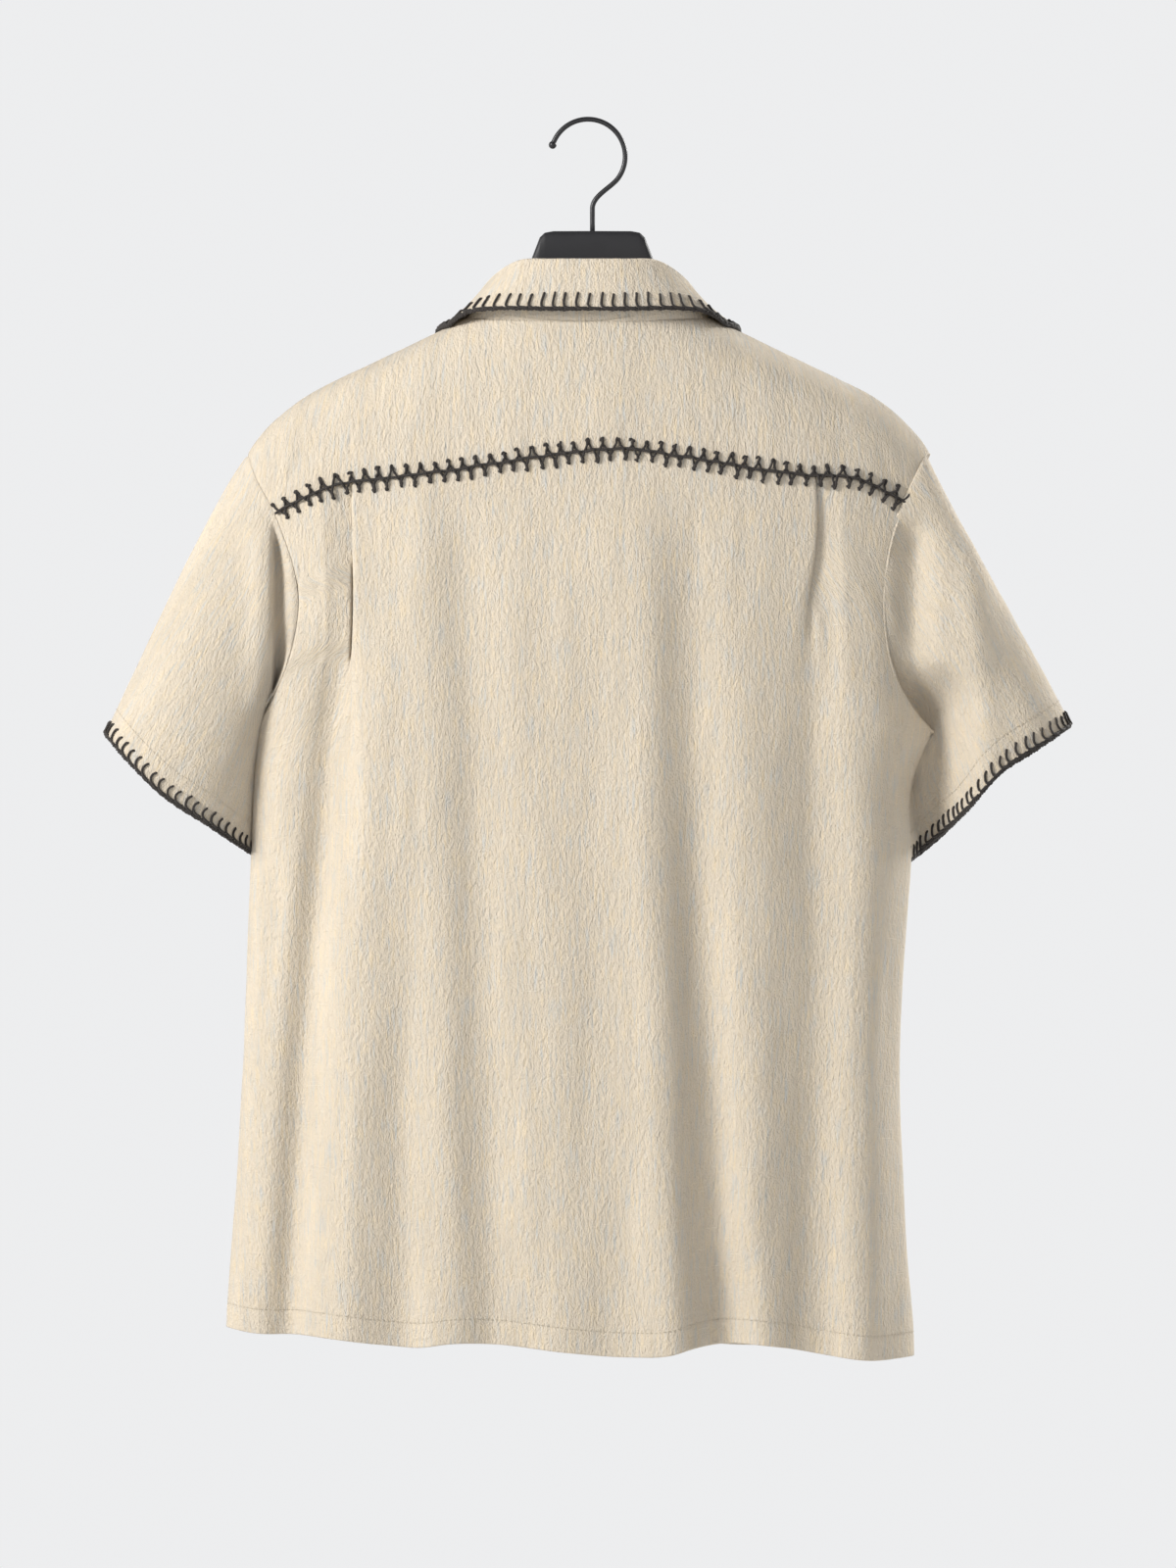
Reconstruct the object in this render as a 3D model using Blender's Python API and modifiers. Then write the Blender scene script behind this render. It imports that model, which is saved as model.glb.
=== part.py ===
"""Open-collar shirt with short sleeves, hung on a black hanger.

Metres, +Z up.  The front faces -Y, the back faces +Y, and the wearer's left
side is +X.  The origin is the inside top of the hanger's hook.
"""

import math

import bmesh
import bpy
import numpy as np

MM = 0.001

# Cloth, and the gap that sewn pieces keep at a seam
WALL = 1.2 * MM
SEAM = 0.3 * MM
SIDE_TRIM = 0.4 * MM
SHOULDER_TRIM = 0.45 * MM

# Half width of the shirt at each height.  Columns: z, left side (+X), right side (-X)
WIDTHS = (
    (-128.0, 66.0, 66.0),
    (-137.0, 85.0, 85.0),
    (-146.7, 105.0, 107.0),
    (-163.0, 138.7, 140.5),
    (-179.3, 173.4, 174.5),
    (-190.2, 194.5, 196.5),
    (-201.0, 209.5, 211.5),
    (-211.0, 220.5, 222.0),
    (-221.5, 229.5, 231.0),
    (-231.5, 236.0, 237.0),
    (-246.0, 240.0, 240.0),
    (-262.0, 241.2, 241.0),
    (-300.0, 240.0, 240.0),
    (-350.0, 237.0, 237.5),
    (-395.0, 233.0, 237.0),
    (-422.0, 231.5, 239.0),
    (-434.0, 231.5, 234.0),
    (-450.0, 232.0, 227.0),
    (-517.0, 234.0, 224.0),
    (-595.0, 237.0, 218.0),
    (-664.0, 239.5, 215.8),
    (-732.0, 243.0, 218.3),
    (-793.0, 248.0, 221.7),
    (-835.0, 250.5, 225.4),
    (-870.0, 251.0, 226.0),
)

# Half depth of the shirt from front to back.  Columns: z, half depth
DEPTHS = (
    (-128.0, 37.5),
    (-140.0, 39.0),
    (-165.0, 43.0),
    (-200.0, 46.0),
    (-260.0, 49.5),
    (-332.0, 52.0),
    (-422.0, 51.0),
    (-600.0, 48.0),
    (-750.0, 49.0),
    (-870.0, 51.0),
)
SECTION_POWER = 2.5
RIDGE_FROM_Z = -128.0 * MM
RIDGE_TO_Z = -262.0 * MM

# Armhole seam, its distance from the centre.  Columns: z, left, right
ARMHOLE_BACK = (
    (-231.5, 236.0, 237.0),
    (-250.0, 229.0, 228.0),
    (-268.0, 219.0, 219.0),
    (-290.0, 210.0, 211.0),
    (-310.0, 203.5, 207.0),
    (-332.0, 200.0, 205.0),
    (-357.0, 202.5, 206.0),
    (-380.0, 209.0, 211.0),
    (-400.0, 218.0, 221.0),
    (-415.0, 226.5, 232.0),
    (-422.0, 231.5, 239.0),
)
FRONT_ARMHOLE_INSET = 6.0 * MM
FRONT_ARMHOLE_FADE = 60.0 * MM
FRONT_ARMPIT_FADE = 50.0 * MM
SHOULDER_Z = -231.5 * MM
UPPER_ARMHOLE_Z = -300.0 * MM
ARMPIT_Z = -422.0 * MM

# Yoke: the neckline, the seam across the back (columns: x, z) and the front seam
NECK_HALF = 85.0 * MM
NECK_SIDE_Z = -137.0 * MM
NECK_BACK_DIP = 3.0 * MM
YOKE_SEAM = (
    (-220.0, -266.0),
    (-206.0, -258.0),
    (-190.0, -250.5),
    (-150.0, -247.0),
    (-105.0, -241.0),
    (-60.0, -233.5),
    (-20.0, -229.0),
    (10.0, -231.5),
    (50.0, -237.0),
    (100.0, -244.5),
    (150.0, -250.0),
    (175.0, -254.0),
    (195.0, -261.5),
    (216.0, -273.0),
)
YOKE_FRONT_DROP = 12.0 * MM
YOKE_FRONT_FADE = 30.0 * MM
NECK_COLUMNS = 6
SHOULDER_COLUMNS = 11
YOKE_ROWS = 9

# Hem of the back (columns: x, z), and the height of the front hem at its middle
HEM = (
    (-226.0, -855.0),
    (-197.0, -856.5),
    (-164.0, -852.5),
    (-134.0, -847.0),
    (-93.0, -844.5),
    (-72.0, -847.5),
    (-57.0, -851.5),
    (-27.0, -853.0),
    (14.0, -850.0),
    (64.0, -844.5),
    (94.0, -844.0),
    (118.0, -847.0),
    (142.0, -845.0),
    (192.0, -839.5),
    (234.0, -838.0),
    (250.5, -835.0),
)

FRONT_HEM_Z = -846.0 * MM
SIDE_HEM_Z = -840.0 * MM

# Soft vertical folds: where each runs, its half width and its height.
# A height above zero is a ridge, below zero a trough.
# Columns: x at the top, x midway, x at the hem, z of the top, half width,
# height at the top, height at the hem
BACK_FOLDS = (
    (-42.0, -47.0, -60.0, -225.0, 24.0, 2.5, 12.0),
    (-66.0, -74.0, -94.0, -225.0, 19.0, -3.5, -15.0),
    (114.0, 100.0, 92.0, -225.0, 24.0, 2.0, 4.5),
    (88.0, 76.0, 66.0, -225.0, 17.0, -3.5, -6.0),
    (170.0, 190.0, 208.0, -330.0, 15.0, -9.0, -12.0),
    (148.0, 160.0, 172.0, -330.0, 24.0, 3.0, 8.0),
    (122.0, 126.0, 128.0, -560.0, 14.0, -2.0, -6.0),
    (-194.0, -196.0, -192.0, -250.0, 22.0, 4.0, 10.0),
    (-148.0, -152.0, -150.0, -300.0, 20.0, -2.0, -5.0),
    (-112.0, -114.0, -120.0, -360.0, 18.0, 2.0, 5.0),
    (22.0, 20.0, 14.0, -420.0, 24.0, 1.0, 4.0),
)
FRONT_FOLDS = (
    (150.0, 158.0, 166.0, -250.0, 26.0, 4.0, 11.0),
    (112.0, 118.0, 124.0, -250.0, 20.0, -3.5, -11.0),
    (84.0, 82.0, 80.0, -300.0, 22.0, 2.0, 7.0),
    (46.0, 48.0, 50.0, -420.0, 18.0, -1.0, -6.0),
    (-70.0, -66.0, -58.0, -330.0, 24.0, 2.0, 7.0),
    (-104.0, -102.0, -96.0, -250.0, 20.0, -4.0, -12.0),
    (-142.0, -144.0, -140.0, -250.0, 26.0, 4.0, 11.0),
    (-182.0, -184.0, -180.0, -330.0, 16.0, -3.0, -8.0),
    (186.0, 196.0, 204.0, -330.0, 16.0, -4.0, -9.0),
)
FOLD_FADE = 90.0 * MM
FOLD_END_Z = -870.0

# Back pleats: the line each follows (columns: z, x), and the section across one.
# Closed, the middle of the back lies over its own edge; it opens lower down.
PLEAT_LINE_LEFT = (
    (-245.0, 163.0),
    (-380.0, 163.0),
    (-480.0, 174.0),
    (-620.0, 194.0),
    (-870.0, 208.0),
)
PLEAT_LINE_RIGHT = (
    (-245.0, -156.0),
    (-380.0, -156.0),
    (-620.0, -158.0),
    (-870.0, -160.0),
)
# Columns: closed, toward the side and outward; open, toward the side and outward
PLEAT_SECTION = (
    (-10.0, 0.0, -26.0, 0.0),
    (-1.4, 0.0, -20.0, -0.2),
    (0.0, -1.2, -14.0, -0.8),
    (-1.4, -2.4, -8.0, -1.8),
    (-11.0, -2.4, -3.0, -2.6),
    (-12.4, -3.6, 2.0, -2.8),
    (-11.0, -4.8, 7.0, -2.4),
    (1.0, -4.8, 12.0, -1.6),
    (12.0, -2.2, 18.0, -0.6),
    (20.0, 0.0, 24.0, 0.0),
)
# Columns: z, share opened
PLEAT_OPENS = (
    (-245.0, 0.0),
    (-350.0, 0.05),
    (-420.0, 0.35),
    (-540.0, 0.9),
    (-640.0, 1.0),
    (-870.0, 1.0),
)
BACK_MIDDLE_COLUMNS = 9
BACK_SIDE_COLUMNS = 5
SIDE_COLUMN_CROWD = 2.4
BACK_UPPER_ROWS = 7
BACK_LOWER_ROWS = 11
ARMPIT_SHARE = 0.27

# Fronts: the roll line of the open collar runs from the gorge to the break
GORGE = (72.0 * MM, -157.0 * MM)
BREAK_Z = -262.0 * MM
PLACKET_HALF = 15.0 * MM
LAYER = 0.95 * MM
LAYER_FADE = 30.0 * MM
BREAK_BLEND = 40.0 * MM
ROLL_RADIUS = 1.8 * MM
LAPEL_LIFT = 1.9 * MM
LAPEL_SETTLE = 30.0 * MM
LAPEL_SHARE = 0.78
LAPEL_TURN_LEFT = (-272.0 * MM, -246.0 * MM)
LAPEL_TURN_RIGHT = (-228.0 * MM, -204.0 * MM)
GORGE_COLUMNS = 3
FLAP_COLUMNS = 6
FLAP_CROWD = 1.5
FRONT_INNER_ROWS = (-157.0, -178.0, -196.0, -211.0, -224.0, -236.0, -247.0, -258.0, -271.0, -290.0)
FRONT_UPPER_ROWS = len(FRONT_INNER_ROWS) - 1
FRONT_LOWER_ROWS = 11

# Sleeves.  Columns of a cuff: outer x, outer z, inner x, inner z, half depth.
# Columns of its bow: share from the inner end, lift
CUFF_LEFT = (334.0, -424.0, 238.5, -509.0, 43.0)
CUFF_RIGHT = (334.0, -418.0, 231.5, -517.0, 43.0)
CUFF_BOW_LEFT = ((0.0, 0.0), (0.3, -1.0), (0.62, -6.0), (0.85, -3.5), (1.0, 0.0))
CUFF_BOW_RIGHT = ((0.0, 0.0), (0.25, 5.0), (0.55, 14.0), (0.8, 7.0), (1.0, 0.0))
CUFF_FRONT_DROP = 4.0 * MM
UNDERARM_BOW = 7.0 * MM
RIDGE_BAND = 2.0 * MM
SHOULDER_NORMAL = (0.62, 0.0, 0.78)
SIDE_NORMAL = (1.0, 0.0, 0.0)
# Pull of the cloth where it leaves the armhole and where it meets the cuff, and how far
# the cuff leans outward: at the underarm, and at the shoulder line
START_PULL = (11.0 * MM, 95.0 * MM)
END_PULL = (70.0 * MM, 120.0 * MM)
CUFF_LEAN = (0.02, 0.46)
SLEEVE_STEPS = (0.0, 0.03, 0.07, 0.14, 0.24, 0.36, 0.5, 0.66, 0.83, 1.0)
# Folds beside the back armhole.  Columns: x, half width, height
LEFT_VALLEY = (216.0, 6.0, -9.0)
LEFT_RIDGE = (226.0, 8.0, 5.0)
RIGHT_VALLEY = (-222.0, 10.0, -10.0)
RIGHT_RIDGE = (-268.0, 14.0, 6.0)
ARM_FOLD_TOP_Z = -262.0 * MM
ARM_FOLD_LOW_Z = -425.0 * MM
ARM_FOLD_FADE = 40.0 * MM
ARM_FOLD_LOW_FADE = 45.0 * MM
RIGHT_RIDGE_FADE = 60.0 * MM
ARM_FOLD_START = 0.12
ARM_FOLD_INSET = 15.0 * MM

# Collar: stations from the centre back (0) round to the front end (1) of one side.
# Each gives the top fold and the outer edge of the leaf.
COLLAR_COLUMNS = ("place", "fold_x", "fold_y", "fold_z", "edge_x", "edge_y", "edge_z")
COLLAR = (
    (0.00, 0.0, 42.0, -98.0, 0.0, 46.5, -131.5),
    (0.14, 25.0, 41.0, -98.0, 28.0, 46.0, -131.5),
    (0.29, 47.0, 35.5, -98.6, 56.0, 42.0, -131.0),
    (0.43, 65.0, 24.5, -106.5, 82.0, 31.0, -133.0),
    (0.57, 76.5, 8.0, -117.5, 98.0, 12.0, -142.0),
    (0.72, 80.5, -10.5, -128.0, 105.0, -18.0, -152.0),
    (0.86, 78.5, -27.5, -139.5, 107.0, -39.5, -172.0),
    (1.00, 72.0, -40.5, -152.5, 104.0, -48.0, -197.0),
)
COLLAR_SIDE_PLACE = 0.68
COLLAR_FOLD_RADIUS = 1.7 * MM
COLLAR_HALF_STEPS = 14
COLLAR_WALL = 1.6 * MM
COLLAR_CLEARANCE = 1.7 * MM
COLLAR_SEAM_GAP = 0.5 * MM
COLLAR_FRONT_GAP = 0.8 * MM
COLLAR_INSET = (0.6, 2.2)
COLLAR_STAND_STEPS = (0.0, 0.4, 0.75)
COLLAR_FOLD_ANGLES = (180.0, 130.0, 90.0, 50.0, 0.0)
COLLAR_LEAF_STEPS = (0.33, 0.67, 1.0)

# Buttons down the placket
BUTTON_COUNT = 5
BUTTON_FIRST_Z = -284.0 * MM
BUTTON_PITCH = 110.0 * MM
BUTTON_RADIUS = 5.6 * MM
BUTTON_THICK = 2.6 * MM
BUTTON_EDGE = 0.6 * MM
BUTTON_HOLE_RADIUS = 0.8 * MM
BUTTON_HOLE_SPREAD = 1.7 * MM

# Hanger: sections from the middle outward.  Columns: x, top z, low z, half thickness
HANGER_MIDDLE_X = -3.0 * MM
HANGER_BLOCK = (
    (0.0, -76.0, -150.0, 11.0),
    (32.0, -76.0, -148.0, 11.0),
    (35.0, -78.5, -147.5, 11.0),
    (43.0, -97.5, -146.0, 10.5),
    (57.0, -118.0, -150.0, 10.0),
    (71.0, -137.0, -162.0, 10.0),
)
HANGER_ARM_X = (88.0, 98.0, 112.0, 130.0, 150.0, 170.0, 188.0)
HANGER_TIP_X = (198.0, 204.0)
HANGER_TIP_SIZE = (0.8, 0.45)
HANGER_TIP_DROP = 0.35
HANGER_ARM_HEIGHT = 25.0 * MM
HANGER_ARM_HALF = 10.5 * MM
HANGER_CLEARANCE = 0.9 * MM
HANGER_NECK_CLEARANCE = 2.0 * MM
HANGER_NECK_X = 115.0
HANGER_RING_POINTS = 12
HANGER_BLOCK_POWER = 0.45
HANGER_ARM_POWER = 0.75

# Hook of round wire: a stem, a bend and the crook
WIRE_RADIUS = 1.75 * MM
CROOK_RADIUS = 25.8 * MM
CROOK_START = math.radians(216.0)
CROOK_END = math.radians(18.0)
STEM_X = -3.1 * MM
STEM_TOP_Z = -60.0 * MM
WIRE_LEAVE_PULL = 26.0 * MM
WIRE_ARRIVE_PULL = 24.0 * MM
BALL_RADIUS = 2.8 * MM

FABRIC_COLOUR = (0.63, 0.56, 0.46, 1.0)
BUTTON_COLOUR = (0.055, 0.030, 0.018, 1.0)
HANGER_COLOUR = (0.030, 0.030, 0.032, 1.0)
WIRE_COLOUR = (0.022, 0.022, 0.024, 1.0)


def smooth_table(rows, column=1):
    """A smooth function through a table's rows, read in millimetres."""
    ordered = sorted(rows, key=lambda row: row[0])
    keys = np.array([row[0] for row in ordered])
    values = np.array([row[column] for row in ordered])
    slopes = np.gradient(values, keys)

    def read(key):
        key = min(max(key / MM, keys[0]), keys[-1])
        i = min(max(int(np.searchsorted(keys, key)) - 1, 0), len(keys) - 2)
        span = keys[i + 1] - keys[i]
        t = (key - keys[i]) / span
        a = (1 + 2 * t) * (1 - t) ** 2 * values[i] + t * (1 - t) ** 2 * span * slopes[i]
        b = t * t * (3 - 2 * t) * values[i + 1] - t * t * (1 - t) * span * slopes[i + 1]
        return (a + b) * MM

    return read


def share_table(rows):
    """A smooth function through rows whose keys and values are plain numbers."""
    scaled = smooth_table(rows)
    return lambda key: scaled(key * MM) / MM


PLEAT_OPEN_READ = share_table(PLEAT_OPENS)


def ease(t):
    """From 0 to 1 with level ends."""
    t = min(max(t, 0.0), 1.0)
    return t * t * (3.0 - 2.0 * t)


def mix(a, b, t):
    return a + (b - a) * t


WIDTH_OF = {1: smooth_table(WIDTHS, 1), -1: smooth_table(WIDTHS, 2)}
DEPTH_OF = smooth_table(DEPTHS)
ARMHOLE_OF = {1: smooth_table(ARMHOLE_BACK, 1), -1: smooth_table(ARMHOLE_BACK, 2)}
YOKE_SEAM_OF = smooth_table(YOKE_SEAM)
HEM_OF = smooth_table(HEM)
PLEAT_LINE_OF = {1: smooth_table(PLEAT_LINE_LEFT), -1: smooth_table(PLEAT_LINE_RIGHT)}


def pleat_opening(z):
    """How far a back pleat has opened at a height, from 0 to 1."""
    return PLEAT_OPEN_READ(z / MM)


def side_of(x):
    return 1 if x >= 0.0 else -1


def ridge_tables():
    """Height of the shoulder ridge by distance from the centre, per side."""
    tables = {}
    for side in (1, -1):
        heights = np.linspace(RIDGE_FROM_Z, RIDGE_TO_Z, 600)
        widths = np.array([WIDTH_OF[side](z) for z in heights])
        tables[side] = (widths, heights)
    return tables


RIDGE = ridge_tables()


def ridge_z(x):
    widths, heights = RIDGE[side_of(x)]
    return float(np.interp(abs(x), widths, heights))


def neck_z(x):
    """Height of the back neckline."""
    share = min(abs(x) / NECK_HALF, 1.0)
    return NECK_SIDE_Z - NECK_BACK_DIP * (1.0 - share * share)


def fold_height(folds, x, z):
    """Sum of the soft folds at a place on one face of the shirt."""
    total = 0.0
    for x_top, x_middle, x_low, z_top, half, top, low in folds:
        t = (z / MM - z_top) / (FOLD_END_Z - z_top)
        if t <= 0.0:
            continue
        control = 2.0 * x_middle - 0.5 * (x_top + x_low)
        line = (1 - t) ** 2 * x_top + 2 * t * (1 - t) * control + t * t * x_low
        across = (x / MM - line) / half
        grow = ease((z_top * MM - z) / FOLD_FADE)
        total += mix(top, low, t) * grow * math.exp(-across * across)
    return total * MM


def body_y(x, z, face):
    """Depth of the shirt's surface: face is 1 for the back and -1 for the front."""
    half = WIDTH_OF[side_of(x)](z)
    inside = 1.0 - min(abs(x) / half, 1.0) ** SECTION_POWER
    rise = math.sqrt(max(inside, 0.0))
    folds = BACK_FOLDS if face > 0 else FRONT_FOLDS
    out = DEPTH_OF(z) * rise + fold_height(folds, x, z) * ease(rise * 1.6)
    return face * out


def grid_object(name, points, material, wall=WALL, closed=False):
    """A cloth wall: an open surface through rows of points, thickened both ways."""
    rows = len(points)
    columns = len(points[0])
    mesh = bpy.data.meshes.new(name)
    vertices = [p for row in points for p in row]
    faces = []
    last = columns if closed else columns - 1
    for r in range(rows - 1):
        for c in range(last):
            d = (c + 1) % columns
            faces.append((r * columns + c, r * columns + d, (r + 1) * columns + d, (r + 1) * columns + c))
    mesh.from_pydata(vertices, [], faces)
    mesh.materials.append(material)
    mesh.shade_smooth()
    piece = bpy.data.objects.new(name, mesh)
    PARTS.objects.link(piece)
    solid = piece.modifiers.new("wall", "SOLIDIFY")
    solid.thickness = wall
    solid.offset = 0.0
    solid.use_quality_normals = True
    return piece


def make_material(name, colour, roughness, metallic=0.0):
    material = bpy.data.materials.new(name)
    material.use_nodes = True
    shader = material.node_tree.nodes["Principled BSDF"]
    shader.inputs["Base Color"].default_value = colour
    shader.inputs["Roughness"].default_value = roughness
    shader.inputs["Metallic"].default_value = metallic
    return material


def pull_in(row, first, last):
    """Shorten a row of points a little at both ends, along itself."""
    row = [np.array(p, dtype=float) for p in row]
    for end, inner, distance in ((0, 1, first), (-1, -2, last)):
        step = row[inner] - row[end]
        row[end] = row[end] + step * (distance / np.linalg.norm(step))
    return [tuple(p) for p in row]


def trim(points, ends=SEAM / 2, first_row=SEAM / 2):
    """Pull the four edges of a grid in, so that neighbours stay a seam apart."""
    rows = [pull_in(row, ends, ends) for row in points]
    columns = [pull_in(column, first_row, SEAM / 2) for column in zip(*rows)]
    return [list(row) for row in zip(*columns)]


def yoke_front_drop(x):
    """How far the front shoulder seam lies below the ridge."""
    return YOKE_FRONT_DROP * ease((abs(x) - NECK_HALF) / YOKE_FRONT_FADE) + SEAM


def armhole_tables():
    """Distance from the centre by drop below the ridge, and where the yoke ends."""
    drops = {}
    ends = {}
    for side in (1, -1):
        rows = []
        for z in np.linspace(SHOULDER_Z, UPPER_ARMHOLE_Z, 200):
            x = ARMHOLE_OF[side](z)
            rows.append((max(ridge_z(side * x) - z, 0.0), x))
            if side not in ends and z <= YOKE_SEAM_OF(side * x):
                ends[side] = (x, float(z))
        drops[side] = (np.array([row[0] for row in rows]), np.array([row[1] for row in rows]))
    return drops, ends


ARM_DROPS, YOKE_ENDS = armhole_tables()


def armhole_x(side, z, face):
    """Distance of the armhole seam from the centre; the front is cut in more."""
    x = ARMHOLE_OF[side](z)
    if face > 0:
        return x
    reach = ease((SHOULDER_Z - z) / FRONT_ARMHOLE_FADE) * ease((z - ARMPIT_Z) / FRONT_ARMPIT_FADE)
    return x - FRONT_ARMHOLE_INSET * reach


def armhole_x_at_drop(side, drop, face):
    drops, widths = ARM_DROPS[side]
    x = float(np.interp(drop, drops, widths))
    if face < 0:
        z = ridge_z(side * x) - drop
        x -= FRONT_ARMHOLE_INSET * ease((SHOULDER_Z - z) / FRONT_ARMHOLE_FADE)
    return x


def yoke_column_x(k, reach):
    """Distance of a yoke column from the centre: some cross the neck, the rest the shoulder."""
    if k <= NECK_COLUMNS:
        return NECK_HALF * k / NECK_COLUMNS
    return mix(NECK_HALF, reach, (k - NECK_COLUMNS) / SHOULDER_COLUMNS)


def yoke_point(side, k, t):
    """Column k from the centre, t from the front seam or neckline (0) to the back seam (1)."""
    end_x, end_z = YOKE_ENDS[side]
    edge_first = -math.sqrt(YOKE_FRONT_DROP)
    edge_last = math.sqrt(ridge_z(side * end_x) - end_z)
    edge_q = mix(edge_first, edge_last, t)
    reach = armhole_x_at_drop(side, edge_q * edge_q, 1 if edge_q > 0 else -1)
    x = yoke_column_x(k, reach)
    last_x = yoke_column_x(k, end_x)
    crosses_neck = k < NECK_COLUMNS
    top = neck_z(x) if crosses_neck else ridge_z(side * x)
    last_top = neck_z(last_x) if crosses_neck else ridge_z(side * last_x)
    first = 0.0 if crosses_neck else -math.sqrt(yoke_front_drop(x))
    last = math.sqrt(last_top - YOKE_SEAM_OF(side * last_x))
    q = mix(first, last, t)
    z = top - q * q
    face = 1 if q >= 0 else -1
    return (side * x, body_y(side * x, z, face), z)


def build_yoke(material):
    count = NECK_COLUMNS + SHOULDER_COLUMNS
    rows = []
    for r in range(YOKE_ROWS + 1):
        t = r / YOKE_ROWS
        right = [yoke_point(-1, k, t) for k in range(count, 0, -1)]
        left = [yoke_point(1, k, t) for k in range(count + 1)]
        rows.append(right + left)
    return grid_object("back_yoke", trim(rows), material)


def pleat_offset(step, open_share):
    """Offset toward the side and inward, at a step along the pleat's section."""
    steps = range(len(PLEAT_SECTION))
    closed_x = np.interp(step, steps, [row[0] for row in PLEAT_SECTION])
    closed_y = np.interp(step, steps, [row[1] for row in PLEAT_SECTION])
    open_x = np.interp(step, steps, [row[2] for row in PLEAT_SECTION])
    open_y = np.interp(step, steps, [row[3] for row in PLEAT_SECTION])
    return mix(closed_x, open_x, open_share) * MM, mix(closed_y, open_y, open_share) * MM


def panel_edge_z(v, top, low):
    """Height of a panel's side edge: down the armhole to the armpit, then the side seam."""
    if v <= ARMPIT_SHARE:
        return mix(top, ARMPIT_Z, v / ARMPIT_SHARE)
    return mix(ARMPIT_Z, low, (v - ARMPIT_SHARE) / (1.0 - ARMPIT_SHARE))


def row_share(r, upper, lower):
    """Share of the way down at a row; the rows crowd together near the armpit."""
    if r <= upper:
        return ARMPIT_SHARE * math.sin(math.pi / 2 * r / upper)
    return mix(ARMPIT_SHARE, 1.0, ((r - upper) / lower) ** 1.15)


def hem_edge_z(side):
    return HEM_OF(side * WIDTH_OF[side](SIDE_HEM_Z))


def back_edge(side, v):
    """Distance and height of the back's side edge."""
    z = panel_edge_z(v, YOKE_ENDS[side][1], hem_edge_z(side))
    x = armhole_x(side, z, 1) if z > ARMPIT_Z else WIDTH_OF[side](z)
    return x, z


def back_half_row(side, v):
    """One row of half the back, from the centre to the side edge."""
    edge_x, edge_z = back_edge(side, v)
    line = abs(PLEAT_LINE_OF[side](edge_z))
    open_share = pleat_opening(edge_z)
    steps = len(PLEAT_SECTION)
    start = line + pleat_offset(0, open_share)[0]
    end = line + pleat_offset(steps - 1, open_share)[0]
    places = [(start * c / BACK_MIDDLE_COLUMNS, 0.0) for c in range(BACK_MIDDLE_COLUMNS)]
    for step in range(steps):
        across, inward = pleat_offset(step, open_share)
        places.append((line + across, inward))
    for c in range(1, BACK_SIDE_COLUMNS + 1):
        places.append((mix(end, edge_x, 1.0 - (1.0 - c / BACK_SIDE_COLUMNS) ** SIDE_COLUMN_CROWD), 0.0))
    at_edge = mix(YOKE_SEAM_OF(side * edge_x), HEM_OF(side * edge_x), v)
    row = []
    for x, inward in places:
        z = mix(YOKE_SEAM_OF(side * x), HEM_OF(side * x), v)
        z += (edge_z - at_edge) * (x / edge_x) ** 4
        x = min(x, WIDTH_OF[side](z))
        row.append((side * x, body_y(side * x, z, 1) + inward, z))
    return row


def build_back(material):
    rows = []
    for r in range(BACK_UPPER_ROWS + BACK_LOWER_ROWS + 1):
        v = row_share(r, BACK_UPPER_ROWS, BACK_LOWER_ROWS)
        rows.append(back_half_row(-1, v)[:0:-1] + back_half_row(1, v))
    return grid_object("back_panel", trim(rows, ends=SIDE_TRIM), material)


def front_hem_z(side, x):
    share = abs(x) / WIDTH_OF[side](SIDE_HEM_Z)
    return mix(FRONT_HEM_Z, hem_edge_z(side), ease(share))


def front_top_x(side, c):
    """Top edge of a front: the shoulder seam along the yoke, then the neckline to the gorge."""
    arm_x = armhole_x_at_drop(side, YOKE_FRONT_DROP, -1)
    if c <= SHOULDER_COLUMNS:
        return yoke_column_x(NECK_COLUMNS + SHOULDER_COLUMNS - c, arm_x)
    t = (c - SHOULDER_COLUMNS) / GORGE_COLUMNS
    return mix(NECK_HALF, GORGE[0], t * t)


def front_top_z(side, x):
    """Height of a front's top edge at a distance from the centre."""
    if x >= NECK_HALF:
        return ridge_z(side * x) - yoke_front_drop(x)
    gorge_x, gorge_z = GORGE
    neck_low = ridge_z(side * NECK_HALF) - yoke_front_drop(NECK_HALF)
    return mix(neck_low, gorge_z, (NECK_HALF - x) / (NECK_HALF - gorge_x))


def front_edge(side, v):
    """Distance and height of a front's side edge."""
    arm_x = front_top_x(side, 0)
    arm_top = front_top_z(side, arm_x)
    z = panel_edge_z(v, arm_top, hem_edge_z(side))
    if z <= ARMPIT_Z:
        return WIDTH_OF[side](z), z
    fit = arm_x - armhole_x(side, arm_top, -1)
    return armhole_x(side, z, -1) + fit * (1.0 - v / ARMPIT_SHARE), z


def roll_x(z):
    """The roll line from gorge to break, then the straight line down the centre."""
    gorge_x, gorge_z = GORGE
    if z > BREAK_Z:
        return gorge_x * (z - BREAK_Z) / (gorge_z - BREAK_Z)
    return 0.0


def bend(distance, angle):
    """Travel along a sheet that bends through an angle: (along, away)."""
    arc = ROLL_RADIUS * angle
    if distance <= arc:
        beta = distance / ROLL_RADIUS
        return ROLL_RADIUS * math.sin(beta), ROLL_RADIUS * (1 - math.cos(beta))
    rest = distance - arc
    along = ROLL_RADIUS * math.sin(angle) + rest * math.cos(angle)
    away = ROLL_RADIUS * (1 - math.cos(angle)) + rest * math.sin(angle)
    return along, away


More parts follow.
